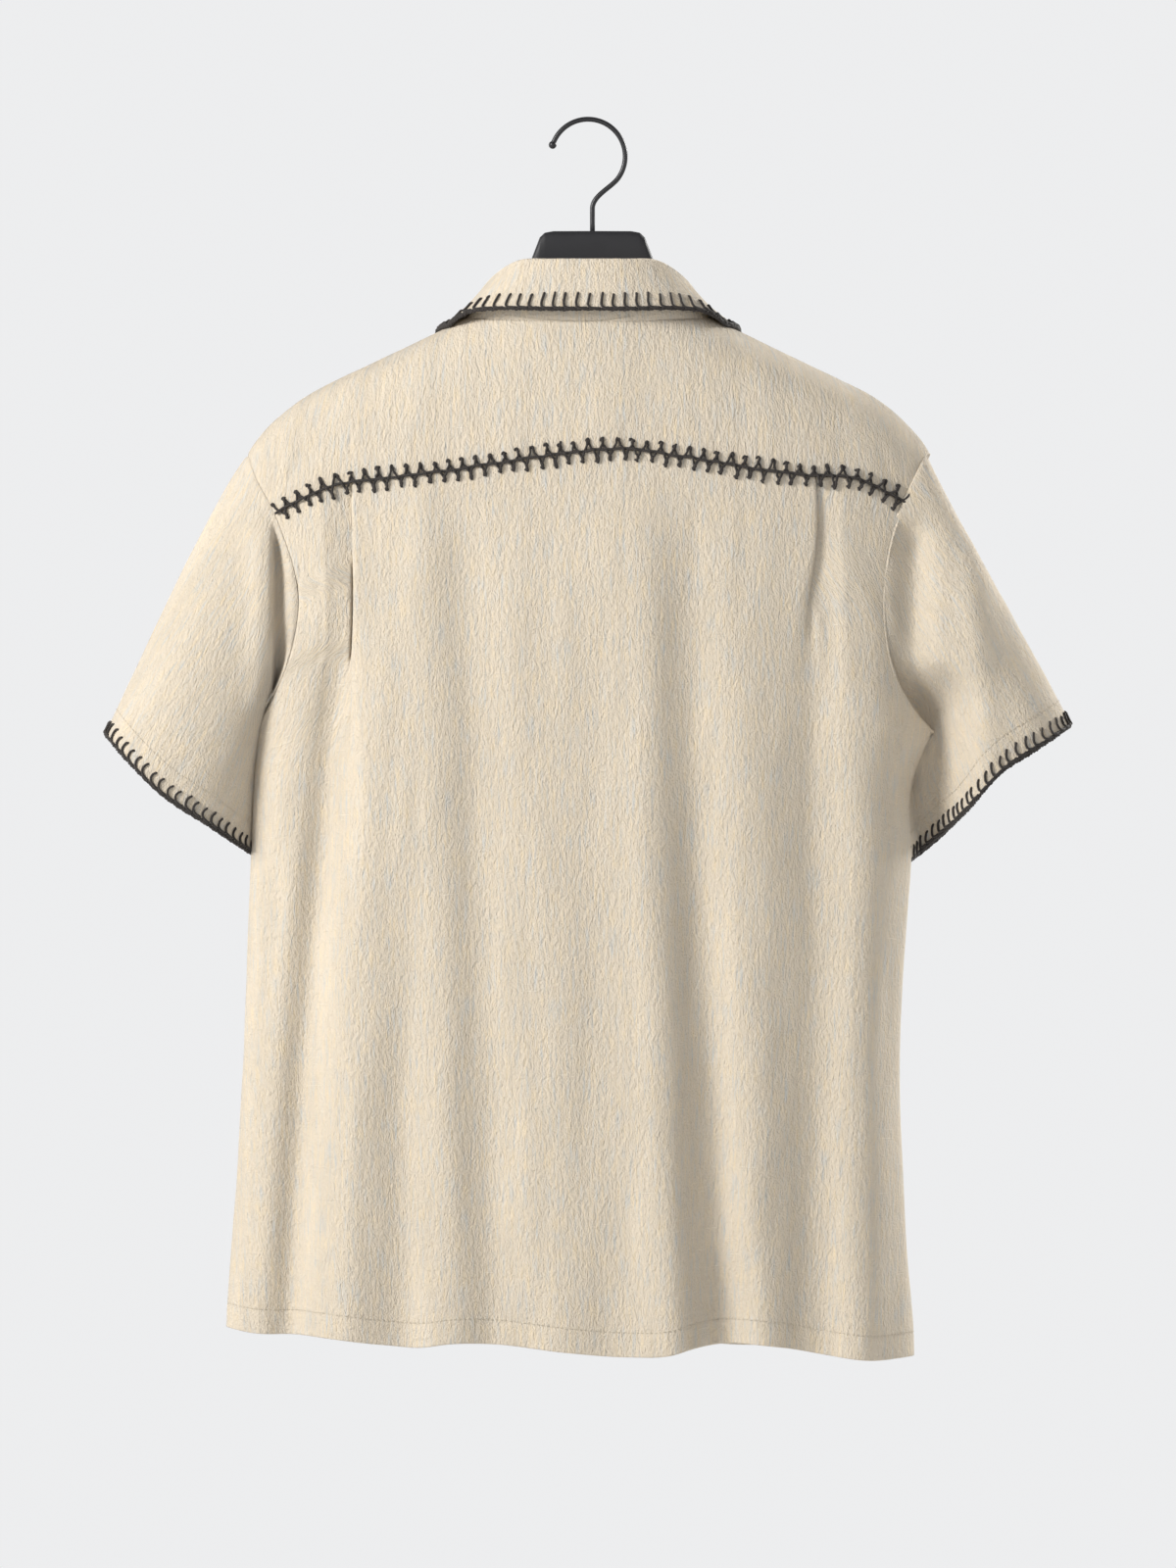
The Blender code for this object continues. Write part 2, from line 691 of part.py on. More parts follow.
def front_inner_z(side, r):
    """Height of a front's inner line at a row; the rows are closer along the lapel."""
    if r <= FRONT_UPPER_ROWS:
        return FRONT_INNER_ROWS[r] * MM
    t = (r - FRONT_UPPER_ROWS) / FRONT_LOWER_ROWS
    return mix(FRONT_INNER_ROWS[-1] * MM, front_hem_z(side, 0.0), t)


def front_row(side, r):
    """One row of a front, from the armhole or side seam to the centre edge."""
    v = row_share(r, FRONT_UPPER_ROWS, FRONT_LOWER_ROWS)
    gorge_x, gorge_z = GORGE
    edge_x, edge_z = front_edge(side, v)
    arm_x = front_top_x(side, 0)
    arm_top = front_top_z(side, arm_x)
    inner_z = front_inner_z(side, r)
    inner_x = roll_x(inner_z)
    at_edge = mix(arm_top, front_hem_z(side, edge_x), v)
    at_inner = mix(gorge_z, front_hem_z(side, inner_x), v)
    count = SHOULDER_COLUMNS + GORGE_COLUMNS
    placket = PLACKET_HALF / (edge_x - inner_x)
    row = []
    for c in range(count + 1):
        top_share = (front_top_x(side, c) - gorge_x) / (arm_x - gorge_x)
        low_share = 0.0
        if c < count:
            low_share = mix(placket, 1.0, math.sin(math.pi / 2 * (1 - c / (count - 1))) ** 0.8)
        share = mix(top_share, low_share, ease(v / ARMPIT_SHARE))
        x = mix(inner_x, edge_x, share)
        top_z = front_top_z(side, mix(gorge_x, arm_x, share))
        z = mix(top_z, front_hem_z(side, x), v)
        z += (edge_z - at_edge) * share ** 4 + (inner_z - at_inner) * (1.0 - share) ** 3
        x = min(x, WIDTH_OF[side](z))
        row.append((side * x, body_y(side * x, z, -1) - layer_of(side, x), z))
    row.extend(flap_points(side, inner_x, inner_z))
    return row


def layer_of(side, x):
    """The left front lies over the right one at the placket."""
    near = 1.0 - ease((abs(x) - PLACKET_HALF) / LAYER_FADE)
    return side * LAYER * near


def flap_points(side, inner_x, inner_z):
    """Points past the roll line: the turned-out lapel above, the placket edge below."""
    low, high = LAPEL_TURN_LEFT if side > 0 else LAPEL_TURN_RIGHT
    angle = math.pi * ease((inner_z - low) / (high - low))
    gorge_x, gorge_z = GORGE
    line = np.array([-gorge_x, BREAK_Z - gorge_z])
    line = line / np.linalg.norm(line)
    inward = np.array([-1.0, 0.0])
    if inner_z < BREAK_Z - BREAK_BLEND:
        line = np.array([0.0, -1.0])
    elif inner_z < BREAK_Z:
        t = ease((BREAK_Z - inner_z) / BREAK_BLEND)
        line = mix(line, np.array([0.0, -1.0]), t)
        line = line / np.linalg.norm(line)
    along_line = line * float(inward @ line)
    across = inward - along_line
    size = float(np.linalg.norm(across))
    across = across / size
    width = (inner_x + PLACKET_HALF) * mix(1.0, LAPEL_SHARE, ease(inner_x / gorge_x))
    points = []
    for k in range(1, FLAP_COLUMNS + 1):
        share = k / FLAP_COLUMNS
        distance = width * share ** FLAP_CROWD
        along, away = bend(distance * size, angle)
        folded = angle / math.pi
        settle = mix(away, LAPEL_LIFT, ease(distance / LAPEL_SETTLE) * folded)
        away = settle if folded > 0.5 else away
        place = np.array([inner_x, inner_z]) + along_line * distance + across * along
        x, z = float(place[0]), float(place[1])
        y = body_y(side * x, z, -1) - layer_of(side, side * x) - away
        points.append((side * x, y, z))
    return points


def build_front(side, name, material):
    rows = []
    for r in range(FRONT_UPPER_ROWS + FRONT_LOWER_ROWS + 1):
        rows.append(front_row(side, r))
    if side > 0:
        rows = [row[::-1] for row in rows]
    return grid_object(name, trim(rows, ends=SIDE_TRIM, first_row=SHOULDER_TRIM), material)


def armhole_ring(side):
    """Corners of the armhole in order: armpit, up the back, over the yoke, down the front."""
    ring = []
    for r in range(BACK_UPPER_ROWS, 0, -1):
        x, z = back_edge(side, row_share(r, BACK_UPPER_ROWS, BACK_LOWER_ROWS))
        ring.append((side * x, body_y(side * x, z, 1), z))
    for r in range(YOKE_ROWS, -1, -1):
        ring.append(yoke_point(side, NECK_COLUMNS + SHOULDER_COLUMNS, r / YOKE_ROWS))
    for r in range(1, FRONT_UPPER_ROWS):
        x, z = front_edge(side, row_share(r, FRONT_UPPER_ROWS, FRONT_LOWER_ROWS))
        ring.append((side * x, body_y(side * x, z, -1), z))
    return [np.array(point) for point in ring]


def round_share(point, top_z):
    """Place of a corner round the sleeve: armpit 0, back 0.25, shoulder 0.5, front 0.75."""
    lift = min(max((point[2] - ARMPIT_Z) / (top_z - ARMPIT_Z), 0.0), 1.0)
    share = math.acos(1.0 - 2.0 * lift) / (2.0 * math.pi)
    return share if point[1] >= 0 else 1.0 - share


def surface_normal(side, point):
    """Outward direction of the shirt's surface near a point of the armhole."""
    x, y, z = point
    if abs(y) < RIDGE_BAND:
        return np.array(SHOULDER_NORMAL if z > UPPER_ARMHOLE_Z else SIDE_NORMAL) * (side, 1.0, 1.0)
    face = 1 if y > 0 else -1
    step = 1.0 * MM
    dx = (body_y(x + step, z, face) - body_y(x - step, z, face)) / (2 * step)
    dz = (body_y(x, z + step, face) - body_y(x, z - step, face)) / (2 * step)
    normal = np.array([-dx, 1.0, -dz]) * face
    return normal / np.linalg.norm(normal)


def sleeve_starts(side):
    """For each corner of the armhole: its place, where the sleeve leaves it and how."""
    ring = armhole_ring(side)
    top_z = max(point[2] for point in ring)
    starts = []
    for i, here in enumerate(ring):
        tangent = ring[(i + 1) % len(ring)] - ring[i - 1]
        tangent = tangent / np.linalg.norm(tangent)
        leave = np.cross(tangent, surface_normal(side, here)) * -side
        leave = leave / np.linalg.norm(leave)
        starts.append((round_share(here, top_z), here, leave))
    return starts


def cuff_point(side, around):
    """A point of the cuff's rim at a place round the sleeve."""
    outer_x, outer_z, inner_x, inner_z, half_depth = CUFF_LEFT if side > 0 else CUFF_RIGHT
    bow = share_table(CUFF_BOW_LEFT if side > 0 else CUFF_BOW_RIGHT)
    c = -math.cos(2 * math.pi * around)
    s = math.sin(2 * math.pi * around)
    reach = math.copysign(abs(c) ** 0.9, c)
    depth = math.copysign(abs(s) ** 0.85, s)
    share = (1.0 + reach) / 2.0
    x = mix(inner_x, outer_x, share)
    z = mix(inner_z, outer_z, share) + bow(share)
    if s < 0:
        z -= CUFF_FRONT_DROP / MM * abs(s)
    return np.array([side * x, half_depth * depth, z]) * MM


def cuff_direction(side, around):
    """Way the cloth runs where it reaches the cuff."""
    c = -math.cos(2 * math.pi * around)
    share = (1.0 + c) / 2.0
    lean = mix(*CUFF_LEAN, share)
    direction = np.array([side * lean, 0.0, -1.0])
    return direction / np.linalg.norm(direction)


def sleeve_folds(side, x, z):
    """The valley and the ridge beside the back armhole."""
    below = ARM_FOLD_TOP_Z - z
    window = ease(below / ARM_FOLD_FADE) * ease((z - ARM_FOLD_LOW_Z) / ARM_FOLD_LOW_FADE)
    valley, ridge = (LEFT_VALLEY, LEFT_RIDGE) if side > 0 else (RIGHT_VALLEY, RIGHT_RIDGE)
    total = valley[2] * math.exp(-(((x / MM) - valley[0]) / valley[1]) ** 2) * window
    ridge_window = window if side > 0 else ease(below / RIGHT_RIDGE_FADE)
    total += ridge[2] * math.exp(-(((x / MM) - ridge[0]) / ridge[1]) ** 2) * ridge_window
    return total * MM


def sleeve_point(side, around, start, leave, t):
    """A point of a sleeve, t from the armhole (0) to the cuff (1)."""
    end = cuff_point(side, around)
    top_share = math.sin(math.pi * around) ** 2
    under_share = (1.0 - top_share) ** 3
    start_pull = mix(*START_PULL, top_share ** 1.3)
    end_pull = mix(*END_PULL, top_share)
    first = start + leave * (SEAM + WALL * under_share)
    a = (1 + 2 * t) * (1 - t) ** 2
    b = t * (1 - t) ** 2
    c = t * t * (3 - 2 * t)
    d = -t * t * (1 - t)
    point = a * first + b * leave * start_pull + c * end + d * cuff_direction(side, around) * end_pull
    point[0] += side * UNDERARM_BOW * under_share * math.sqrt(4.0 * t * (1.0 - t))
    if point[1] > 0:
        inside = ease(t / ARM_FOLD_START) * ease(point[1] / ARM_FOLD_INSET)
        point[1] += sleeve_folds(side, float(point[0]), float(point[2])) * inside
    return tuple(point)


def build_sleeve(side, name, material):
    starts = sleeve_starts(side)
    if side < 0:
        starts = starts[::-1]
    rows = []
    for t in SLEEVE_STEPS:
        rows.append([sleeve_point(side, *start, t) for start in starts])
    return grid_object(name, rows, material, closed=True)


def outside_share(point):
    """Above zero outside the body's smooth form, below zero inside it."""
    x, y, z = point
    across = abs(x) / WIDTH_OF[side_of(x)](z)
    return across ** SECTION_POWER + (y / DEPTH_OF(z)) ** 2 - 1.0


def clear_of_body(point, distance):
    """Move a point outward until it is a given distance from the body's smooth form."""
    point = np.array(point, dtype=float)
    step = 0.2 * MM
    for _ in range(4):
        here = outside_share(point)
        slope = np.array([
            (outside_share(point + axis) - outside_share(point - axis)) / (2 * step)
            for axis in np.eye(3) * step
        ])
        size = float(np.linalg.norm(slope))
        short = distance - here / size
        if short <= 0.0:
            break
        point = point + slope / size * short
    return point


def neckline_point(side, s):
    """The neck seam from the centre back (0) to the gorge (1)."""
    if s <= COLLAR_SIDE_PLACE:
        x = NECK_HALF * math.sin(math.pi / 2 * s / COLLAR_SIDE_PLACE)
        z = neck_z(x)
        share = x / NECK_HALF
        lift = COLLAR_SEAM_GAP + (WALL / 2 + SEAM) * share ** 4
        return np.array([side * x, body_y(side * x, z, 1), z + lift])
    t = (s - COLLAR_SIDE_PLACE) / (1.0 - COLLAR_SIDE_PLACE)
    gorge_x, gorge_z = GORGE
    x = mix(NECK_HALF, gorge_x, t * t)
    z = mix(NECK_SIDE_Z, gorge_z, t * t)
    lift = COLLAR_FRONT_GAP + WALL / 2 + SEAM
    inward = lift * mix(*COLLAR_INSET, t)
    return np.array([side * (x - inward), body_y(side * x, z, -1), z + lift])


COLLAR_READERS = [
    share_table([(row[0], row[column]) for row in COLLAR]) for column in range(1, len(COLLAR_COLUMNS))
]


def collar_section(side, s):
    """Points up the stand, round the fold and down the leaf."""
    fold_x, fold_y, fold_z, edge_x, edge_y, edge_z = [read(s) * MM for read in COLLAR_READERS]
    seam = neckline_point(side, s)
    fold = np.array([side * fold_x, fold_y, fold_z])
    edge = clear_of_body((side * edge_x, edge_y, edge_z), COLLAR_CLEARANCE + WALL)
    out = edge - seam
    out[2] = 0.0
    out = out / np.linalg.norm(out)
    up = np.array([0.0, 0.0, 1.0])
    radius = COLLAR_FOLD_RADIUS
    centre = fold - up * radius
    inner = centre - out * radius
    outer = centre + out * radius
    points = [mix(seam, inner, t) for t in COLLAR_STAND_STEPS]
    for angle in COLLAR_FOLD_ANGLES:
        a = math.radians(angle)
        points.append(centre + out * radius * math.cos(a) + up * radius * math.sin(a))
    for t in COLLAR_LEAF_STEPS:
        points.append(clear_of_body(mix(outer, edge, t), COLLAR_CLEARANCE))
    return [tuple(p) for p in points]


def build_collar(material):
    rows = []
    for k in range(-COLLAR_HALF_STEPS, COLLAR_HALF_STEPS + 1):
        side = -1 if k < 0 else 1
        rows.append(collar_section(side, abs(k) / COLLAR_HALF_STEPS))
    return grid_object("collar", trim(rows), material, wall=COLLAR_WALL)


def make_cutter(name, radius, depth, place):
    bpy.ops.mesh.primitive_cylinder_add(vertices=6, radius=radius, depth=depth, location=place)
    cutter = bpy.context.object
    cutter.name = name
    cutter.rotation_euler = (math.pi / 2, 0.0, 0.0)
    cutter.hide_render = True
    cutter.display_type = "WIRE"
    for collection in list(cutter.users_collection):
        collection.objects.unlink(cutter)
    CUTTERS.objects.link(cutter)
    return cutter


def build_button(number, material):
    """A flat disc with a raised rim, sewn through four holes."""
    z = BUTTON_FIRST_Z - (number - 1) * BUTTON_PITCH
    front = body_y(0.0, z, -1) - LAYER - WALL / 2 - SEAM
    place = (0.0, front - BUTTON_THICK / 2, z)
    bpy.ops.mesh.primitive_cylinder_add(
        vertices=16, radius=BUTTON_RADIUS, depth=BUTTON_THICK, location=place,
    )
    button = bpy.context.object
    button.name = f"button_{number}"
    button.rotation_euler = (math.pi / 2, 0.0, 0.0)
    for collection in list(button.users_collection):
        collection.objects.unlink(button)
    PARTS.objects.link(button)
    button.data.materials.append(material)
    edge = button.modifiers.new("edge", "BEVEL")
    edge.width = BUTTON_EDGE
    edge.segments = 1
    edge.limit_method = "ANGLE"
    for k in range(4):
        angle = math.pi / 4 + k * math.pi / 2
        spot = (
            BUTTON_HOLE_SPREAD * math.cos(angle),
            place[1],
            z + BUTTON_HOLE_SPREAD * math.sin(angle),
        )
        cutter = make_cutter(f"hole_{number}_{k + 1}", BUTTON_HOLE_RADIUS, 3 * BUTTON_THICK, spot)
        hole = button.modifiers.new(f"hole_{k + 1}", "BOOLEAN")
        hole.operation = "DIFFERENCE"
        hole.object = cutter
    return button


def hanger_ring(x, top, low, half, power):
    """A rounded section of the hanger, in the plane across its length."""
    middle = (top + low) / 2
    rise = (top - low) / 2
    ring = []
    for k in range(HANGER_RING_POINTS):
        angle = 2 * math.pi * (k + 0.5) / HANGER_RING_POINTS
        c, s = math.cos(angle), math.sin(angle)
        y = half * math.copysign(abs(c) ** power, c)
        z = middle + rise * math.copysign(abs(s) ** power, s)
        ring.append((x, y, z))
    return ring


def hanger_stations(side):
    """Sections from the middle outward on one side."""
    stations = []
    for x, top, low, half in HANGER_BLOCK:
        place = HANGER_MIDDLE_X + side * x * MM
        stations.append((place, top * MM, low * MM, half * MM, HANGER_BLOCK_POWER))
    for x in HANGER_ARM_X + HANGER_TIP_X:
        place = side * x * MM
        clearance = HANGER_NECK_CLEARANCE if x < HANGER_NECK_X else HANGER_CLEARANCE
        top = ridge_z(place) - WALL / 2 - clearance
        height = HANGER_ARM_HEIGHT
        half = HANGER_ARM_HALF
        if x in HANGER_TIP_X:
            shrink = HANGER_TIP_SIZE[HANGER_TIP_X.index(x)]
            top -= HANGER_ARM_HEIGHT * (1 - shrink) * HANGER_TIP_DROP
            height *= shrink
            half *= shrink
        stations.append((place, top, top - height, half, HANGER_ARM_POWER))
    return stations


def build_hanger(material):
    stations = hanger_stations(-1)[:0:-1] + hanger_stations(1)
    rings = [hanger_ring(*station) for station in stations]
    mesh = bpy.data.meshes.new("hanger_body")
    count = HANGER_RING_POINTS
    vertices = [p for ring in rings for p in ring]
    faces = []
    for r in range(len(rings) - 1):
        for k in range(count):
            j = (k + 1) % count
            faces.append((r * count + k, r * count + j, (r + 1) * count + j, (r + 1) * count + k))
    faces.append(tuple(range(count))[::-1])
    last = (len(rings) - 1) * count
    faces.append(tuple(range(last, last + count)))
    mesh.from_pydata(vertices, [], faces)
    tidy = bmesh.new()
    tidy.from_mesh(mesh)
    bmesh.ops.recalc_face_normals(tidy, faces=tidy.faces)
    tidy.to_mesh(mesh)
    tidy.free()
    mesh.materials.append(material)
    mesh.shade_smooth()
    piece = bpy.data.objects.new("hanger_body", mesh)
    PARTS.objects.link(piece)
    return piece


def hook_route():
    """Centre line of the wire: stem, bend, crook."""
    centre_z = WIRE_RADIUS - CROOK_RADIUS
    points = []
    stem_low = HANGER_BLOCK[0][1] * MM + SEAM
    for z in np.linspace(stem_low, STEM_TOP_Z, 4):
        points.append((STEM_X, 0.0, float(z)))
    start = np.array([STEM_X, STEM_TOP_Z])
    join = np.array([
        CROOK_RADIUS * math.cos(CROOK_START),
        centre_z + CROOK_RADIUS * math.sin(CROOK_START),
    ])
    leave = np.array([0.0, WIRE_LEAVE_PULL])
    arrive = np.array([math.sin(CROOK_START), -math.cos(CROOK_START)]) * WIRE_ARRIVE_PULL
    for t in np.linspace(0.1, 0.9, 9):
        a = (1 + 2 * t) * (1 - t) ** 2 * start + t * (1 - t) ** 2 * leave
        b = t * t * (3 - 2 * t) * join - t * t * (1 - t) * arrive
        points.append((float(a[0] + b[0]), 0.0, float(a[1] + b[1])))
    for angle in np.linspace(CROOK_START, CROOK_END, 26):
        points.append((
            CROOK_RADIUS * math.cos(angle),
            0.0,
            centre_z + CROOK_RADIUS * math.sin(angle),
        ))
    return points


def build_hook(material):
    """Round wire as a bevelled curve, with a ball joined on at its end."""
    route = hook_route()
    curve = bpy.data.curves.new("wire", "CURVE")
    curve.dimensions = "3D"
    curve.bevel_depth = WIRE_RADIUS
    curve.bevel_resolution = 2
    curve.use_fill_caps = True
    spline = curve.splines.new("POLY")
    spline.points.add(len(route) - 1)
    for point, place in zip(spline.points, route):
        point.co = (*place, 1.0)
    wire = bpy.data.objects.new("wire", curve)
    CUTTERS.objects.link(wire)
    bpy.context.view_layer.update()
    depsgraph = bpy.context.evaluated_depsgraph_get()
    mesh = bpy.data.meshes.new_from_object(wire.evaluated_get(depsgraph))
    weld = bmesh.new()
    weld.from_mesh(mesh)
    bmesh.ops.remove_doubles(weld, verts=weld.verts, dist=0.00001)
    bmesh.ops.recalc_face_normals(weld, faces=weld.faces)
    weld.to_mesh(mesh)
    weld.free()
    hook = bpy.data.objects.new("hanger_hook", mesh)
    hook.matrix_world = wire.matrix_world
    PARTS.objects.link(hook)
    bpy.data.objects.remove(wire)
    mesh.materials.clear()
    mesh.materials.append(material)
    mesh.shade_smooth()
    end = route[-1]
    bpy.ops.mesh.primitive_uv_sphere_add(segments=14, ring_count=10, radius=BALL_RADIUS, location=end)
    ball = bpy.context.object
    ball.name = "wire_ball"
    ball.hide_render = True
    ball.display_type = "WIRE"
    for collection in list(ball.users_collection):
        collection.objects.unlink(ball)
    CUTTERS.objects.link(ball)
    join = hook.modifiers.new("ball", "BOOLEAN")
    join.operation = "UNION"
    join.object = ball
    return hook


for old in list(bpy.data.objects):
    bpy.data.objects.remove(old)

PARTS = bpy.data.collections.new("open_collar_shirt")
CUTTERS = bpy.data.collections.new("cutters")
bpy.context.scene.collection.children.link(PARTS)
bpy.context.scene.collection.children.link(CUTTERS)

FABRIC = make_material("slub_cotton", FABRIC_COLOUR, 0.92)
BUTTON = make_material("dark_button", BUTTON_COLOUR, 0.35)
HANGER = make_material("black_hanger", HANGER_COLOUR, 0.5)
WIRE = make_material("black_wire", WIRE_COLOUR, 0.4, 0.6)

build_yoke(FABRIC)
build_back(FABRIC)
build_front(1, "front_left", FABRIC)
build_front(-1, "front_right", FABRIC)
build_sleeve(1, "sleeve_left", FABRIC)
build_sleeve(-1, "sleeve_right", FABRIC)
build_collar(FABRIC)
for button_number in range(1, BUTTON_COUNT + 1):
    build_button(button_number, BUTTON)
build_hanger(HANGER)
build_hook(WIRE)
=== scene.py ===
import math

import bmesh
import bpy
import numpy as np
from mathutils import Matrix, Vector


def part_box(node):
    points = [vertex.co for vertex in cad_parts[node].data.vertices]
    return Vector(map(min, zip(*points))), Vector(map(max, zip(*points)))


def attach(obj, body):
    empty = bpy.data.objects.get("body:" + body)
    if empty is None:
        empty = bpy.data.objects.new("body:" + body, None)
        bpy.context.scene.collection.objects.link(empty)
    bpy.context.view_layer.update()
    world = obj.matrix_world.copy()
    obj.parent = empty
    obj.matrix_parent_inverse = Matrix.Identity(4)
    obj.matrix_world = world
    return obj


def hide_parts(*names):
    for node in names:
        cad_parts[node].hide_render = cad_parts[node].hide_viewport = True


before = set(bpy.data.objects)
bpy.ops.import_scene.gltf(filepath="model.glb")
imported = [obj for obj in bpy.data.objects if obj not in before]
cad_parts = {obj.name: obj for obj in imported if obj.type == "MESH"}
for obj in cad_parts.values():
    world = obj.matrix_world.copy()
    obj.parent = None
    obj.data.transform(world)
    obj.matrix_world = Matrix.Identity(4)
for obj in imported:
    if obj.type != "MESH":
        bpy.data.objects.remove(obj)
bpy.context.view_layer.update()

MM = 0.001
CLOTH = 0.8 * MM
SEAM = 0.3 * MM

# Half width of the shirt at each height.  Columns: z, left side (+X), right side (-X)
WIDTHS = (
    (-128, 66, 66), (-137, 85, 85), (-146.7, 105, 107), (-163, 138.7, 140.5),
    (-179.3, 173.4, 174.5), (-190.2, 194.5, 196.5), (-201, 209.5, 211.5), (-211, 220.5, 222),
    (-221.5, 229.5, 231), (-231.5, 236, 237), (-246, 240, 240), (-262, 241.2, 241),
    (-300, 240, 240), (-350, 237, 237.5), (-395, 233, 237), (-422, 231.5, 239),
    (-434, 231.5, 234), (-450, 232, 227), (-517, 234, 224), (-595, 237, 218),
    (-664, 239.5, 215.8), (-732, 243, 218.3), (-793, 248, 221.7), (-835, 250.5, 225.4),
    (-870, 251, 226),
)

# Half depth of the shirt from front to back.  Columns: z, half depth
DEPTHS = (
    (-128, 37.5), (-140, 39), (-165, 43), (-200, 46), (-260, 49.5), (-332, 52), (-422, 51),
    (-600, 48), (-750, 49), (-870, 51),
)
SECTION_POWER = 2.5
RIDGE_TOP_Z = -128.0 * MM
RIDGE_LOW_Z = -262.0 * MM

# Armhole seam, its distance from the centre.  Columns: z, left, right
ARMHOLE_BACK = (
    (-231.5, 236, 237), (-250, 229, 228), (-268, 219, 219), (-290, 210, 211), (-310, 203.5, 207),
    (-332, 200, 205), (-357, 202.5, 206), (-380, 209, 211), (-400, 218, 221), (-415, 226.5, 232),
    (-422, 231.5, 239),
)
FRONT_ARMHOLE_INSET = 6.0 * MM
FRONT_ARMHOLE_FADE = 60.0 * MM
FRONT_ARMPIT_FADE = 50.0 * MM
SHOULDER_Z = -231.5 * MM
UPPER_ARMHOLE_Z = -300.0 * MM
ARMPIT_Z = -422.0 * MM

# Yoke: the neckline, the seam across the back (columns: x, z) and the front seam
NECK_HALF = 85.0 * MM
NECK_SIDE_Z = -137.0 * MM
NECK_BACK_DIP = 3.0 * MM
YOKE_SEAM = (
    (-220, -266), (-206, -258), (-190, -250.5), (-150, -247), (-105, -241), (-60, -233.5),
    (-20, -229), (10, -231.5), (50, -237), (100, -244.5), (150, -250), (175, -254), (195, -261.5),
    (216, -273),
)
YOKE_FRONT_DROP = 12.0 * MM
YOKE_FRONT_FADE = 30.0 * MM

# Hem of the back (columns: x, z), and the height of the front hem at its middle
HEM = (
    (-226, -855), (-197, -856.5), (-164, -852.5), (-134, -847), (-93, -844.5), (-72, -847.5),
    (-57, -851.5), (-27, -853), (14, -850), (64, -844.5), (94, -844), (118, -847), (142, -845),
    (192, -839.5), (234, -838), (250.5, -835),
)
FRONT_HEM_Z = -846.0 * MM
SIDE_HEM_Z = -840.0 * MM

# Large folds.  Columns: x at the top, x midway, x at the hem, z of the top, half width,
# height at the top, height at the hem
BACK_FOLDS = (
    (-42, -47, -60, -225, 24, 2.5, 12), (-66, -74, -94, -225, 19, -3.5, -15),
    (114, 100, 92, -225, 24, 2, 4.5), (88, 76, 66, -225, 17, -3.5, -6),
    (170, 190, 208, -330, 15, -9, -12), (148, 160, 172, -330, 24, 3, 8),
    (122, 126, 128, -560, 14, -2, -6), (-194, -196, -192, -250, 22, 4, 10),
    (-148, -152, -150, -300, 20, -2, -5), (-112, -114, -120, -360, 18, 2, 5),
    (22, 20, 14, -420, 24, 1, 4),
)
FRONT_FOLDS = (
    (150, 158, 166, -250, 26, 4, 11), (112, 118, 124, -250, 20, -3.5, -11),
    (84, 82, 80, -300, 22, 2, 7), (46, 48, 50, -420, 18, -1, -6), (-70, -66, -58, -330, 24, 2, 7),
    (-104, -102, -96, -250, 20, -4, -12), (-142, -144, -140, -250, 26, 4, 11),
    (-182, -184, -180, -330, 16, -3, -8), (186, 196, 204, -330, 16, -4, -9),
)
FOLD_FADE = 90.0 * MM
FOLD_END_Z = -870.0

# Smaller creases, listed one by one.  Columns: x and z of one end, x and z of the other,
# half width, height, bow
BACK_CREASES = (
    (122, -452, 119, -494, 1.6, -0.9, 1), (126, -430, 124, -540, 5, 0.8, -2),
    (184, -322, 189, -385, 2.2, -1, 3), (176, -300, 184, -372, 3.4, 0.8, -2),
    (196, -300, 201, -348, 2, -0.8, -2), (-152, -332, -154, -362, 1.8, -0.8, 1),
    (-158, -338, -161, -380, 3, 0.7, 1), (-176, -300, -182, -420, 5, 0.8, -3),
    (-222, -410, -196, -424, 3, 0.9, 2), (-228, -424, -204, -440, 2.4, -0.9, -2),
    (-214, -434, -206, -470, 3, 0.7, 3), (60, -640, 52, -740, 5, -0.7, 3),
    (-26, -560, -30, -700, 6, 0.7, -3), (-84, -770, -92, -838, 4, -0.9, 2),
    (-110, -700, -118, -800, 5, 0.8, -3), (160, -640, 170, -760, 6, 0.8, 4),
    (214, -480, 222, -600, 6, -0.9, 4), (228, -640, 232, -780, 6, 0.9, -4),
    (-206, -560, -202, -690, 6, -0.8, 3), (18, -300, 15, -420, 6, 0.6, 2),
    (60, -262, 58, -340, 4, -0.6, 1), (-24, -250, -27, -330, 4, -0.6, -1),
    (-100, -252, -101, -320, 4, 0.5, 1),
)
FRONT_CREASES = (
    (192, -330, 150, -400, 7, 1, 6), (198, -380, 160, -470, 6, -1, 5),
    (216, -420, 196, -520, 6, 0.9, -4), (-192, -340, -158, -420, 7, 1, -6),
    (-200, -372, -170, -450, 6, -1, -5), (-214, -440, -196, -540, 6, 0.9, 4),
    (96, -560, 102, -700, 5, -0.8, 4), (-84, -480, -78, -620, 5, 0.8, -4),
    (30, -600, 34, -760, 5, 0.7, 3), (-34, -690, -30, -820, 5, -0.8, 3),
    (140, -220, 120, -330, 8, 0.8, 8), (-136, -226, -118, -340, 8, 0.8, -8),
    (20, -282, 60, -330, 4, -0.7, 4), (-20, -290, -52, -346, 4, -0.7, -4),
)
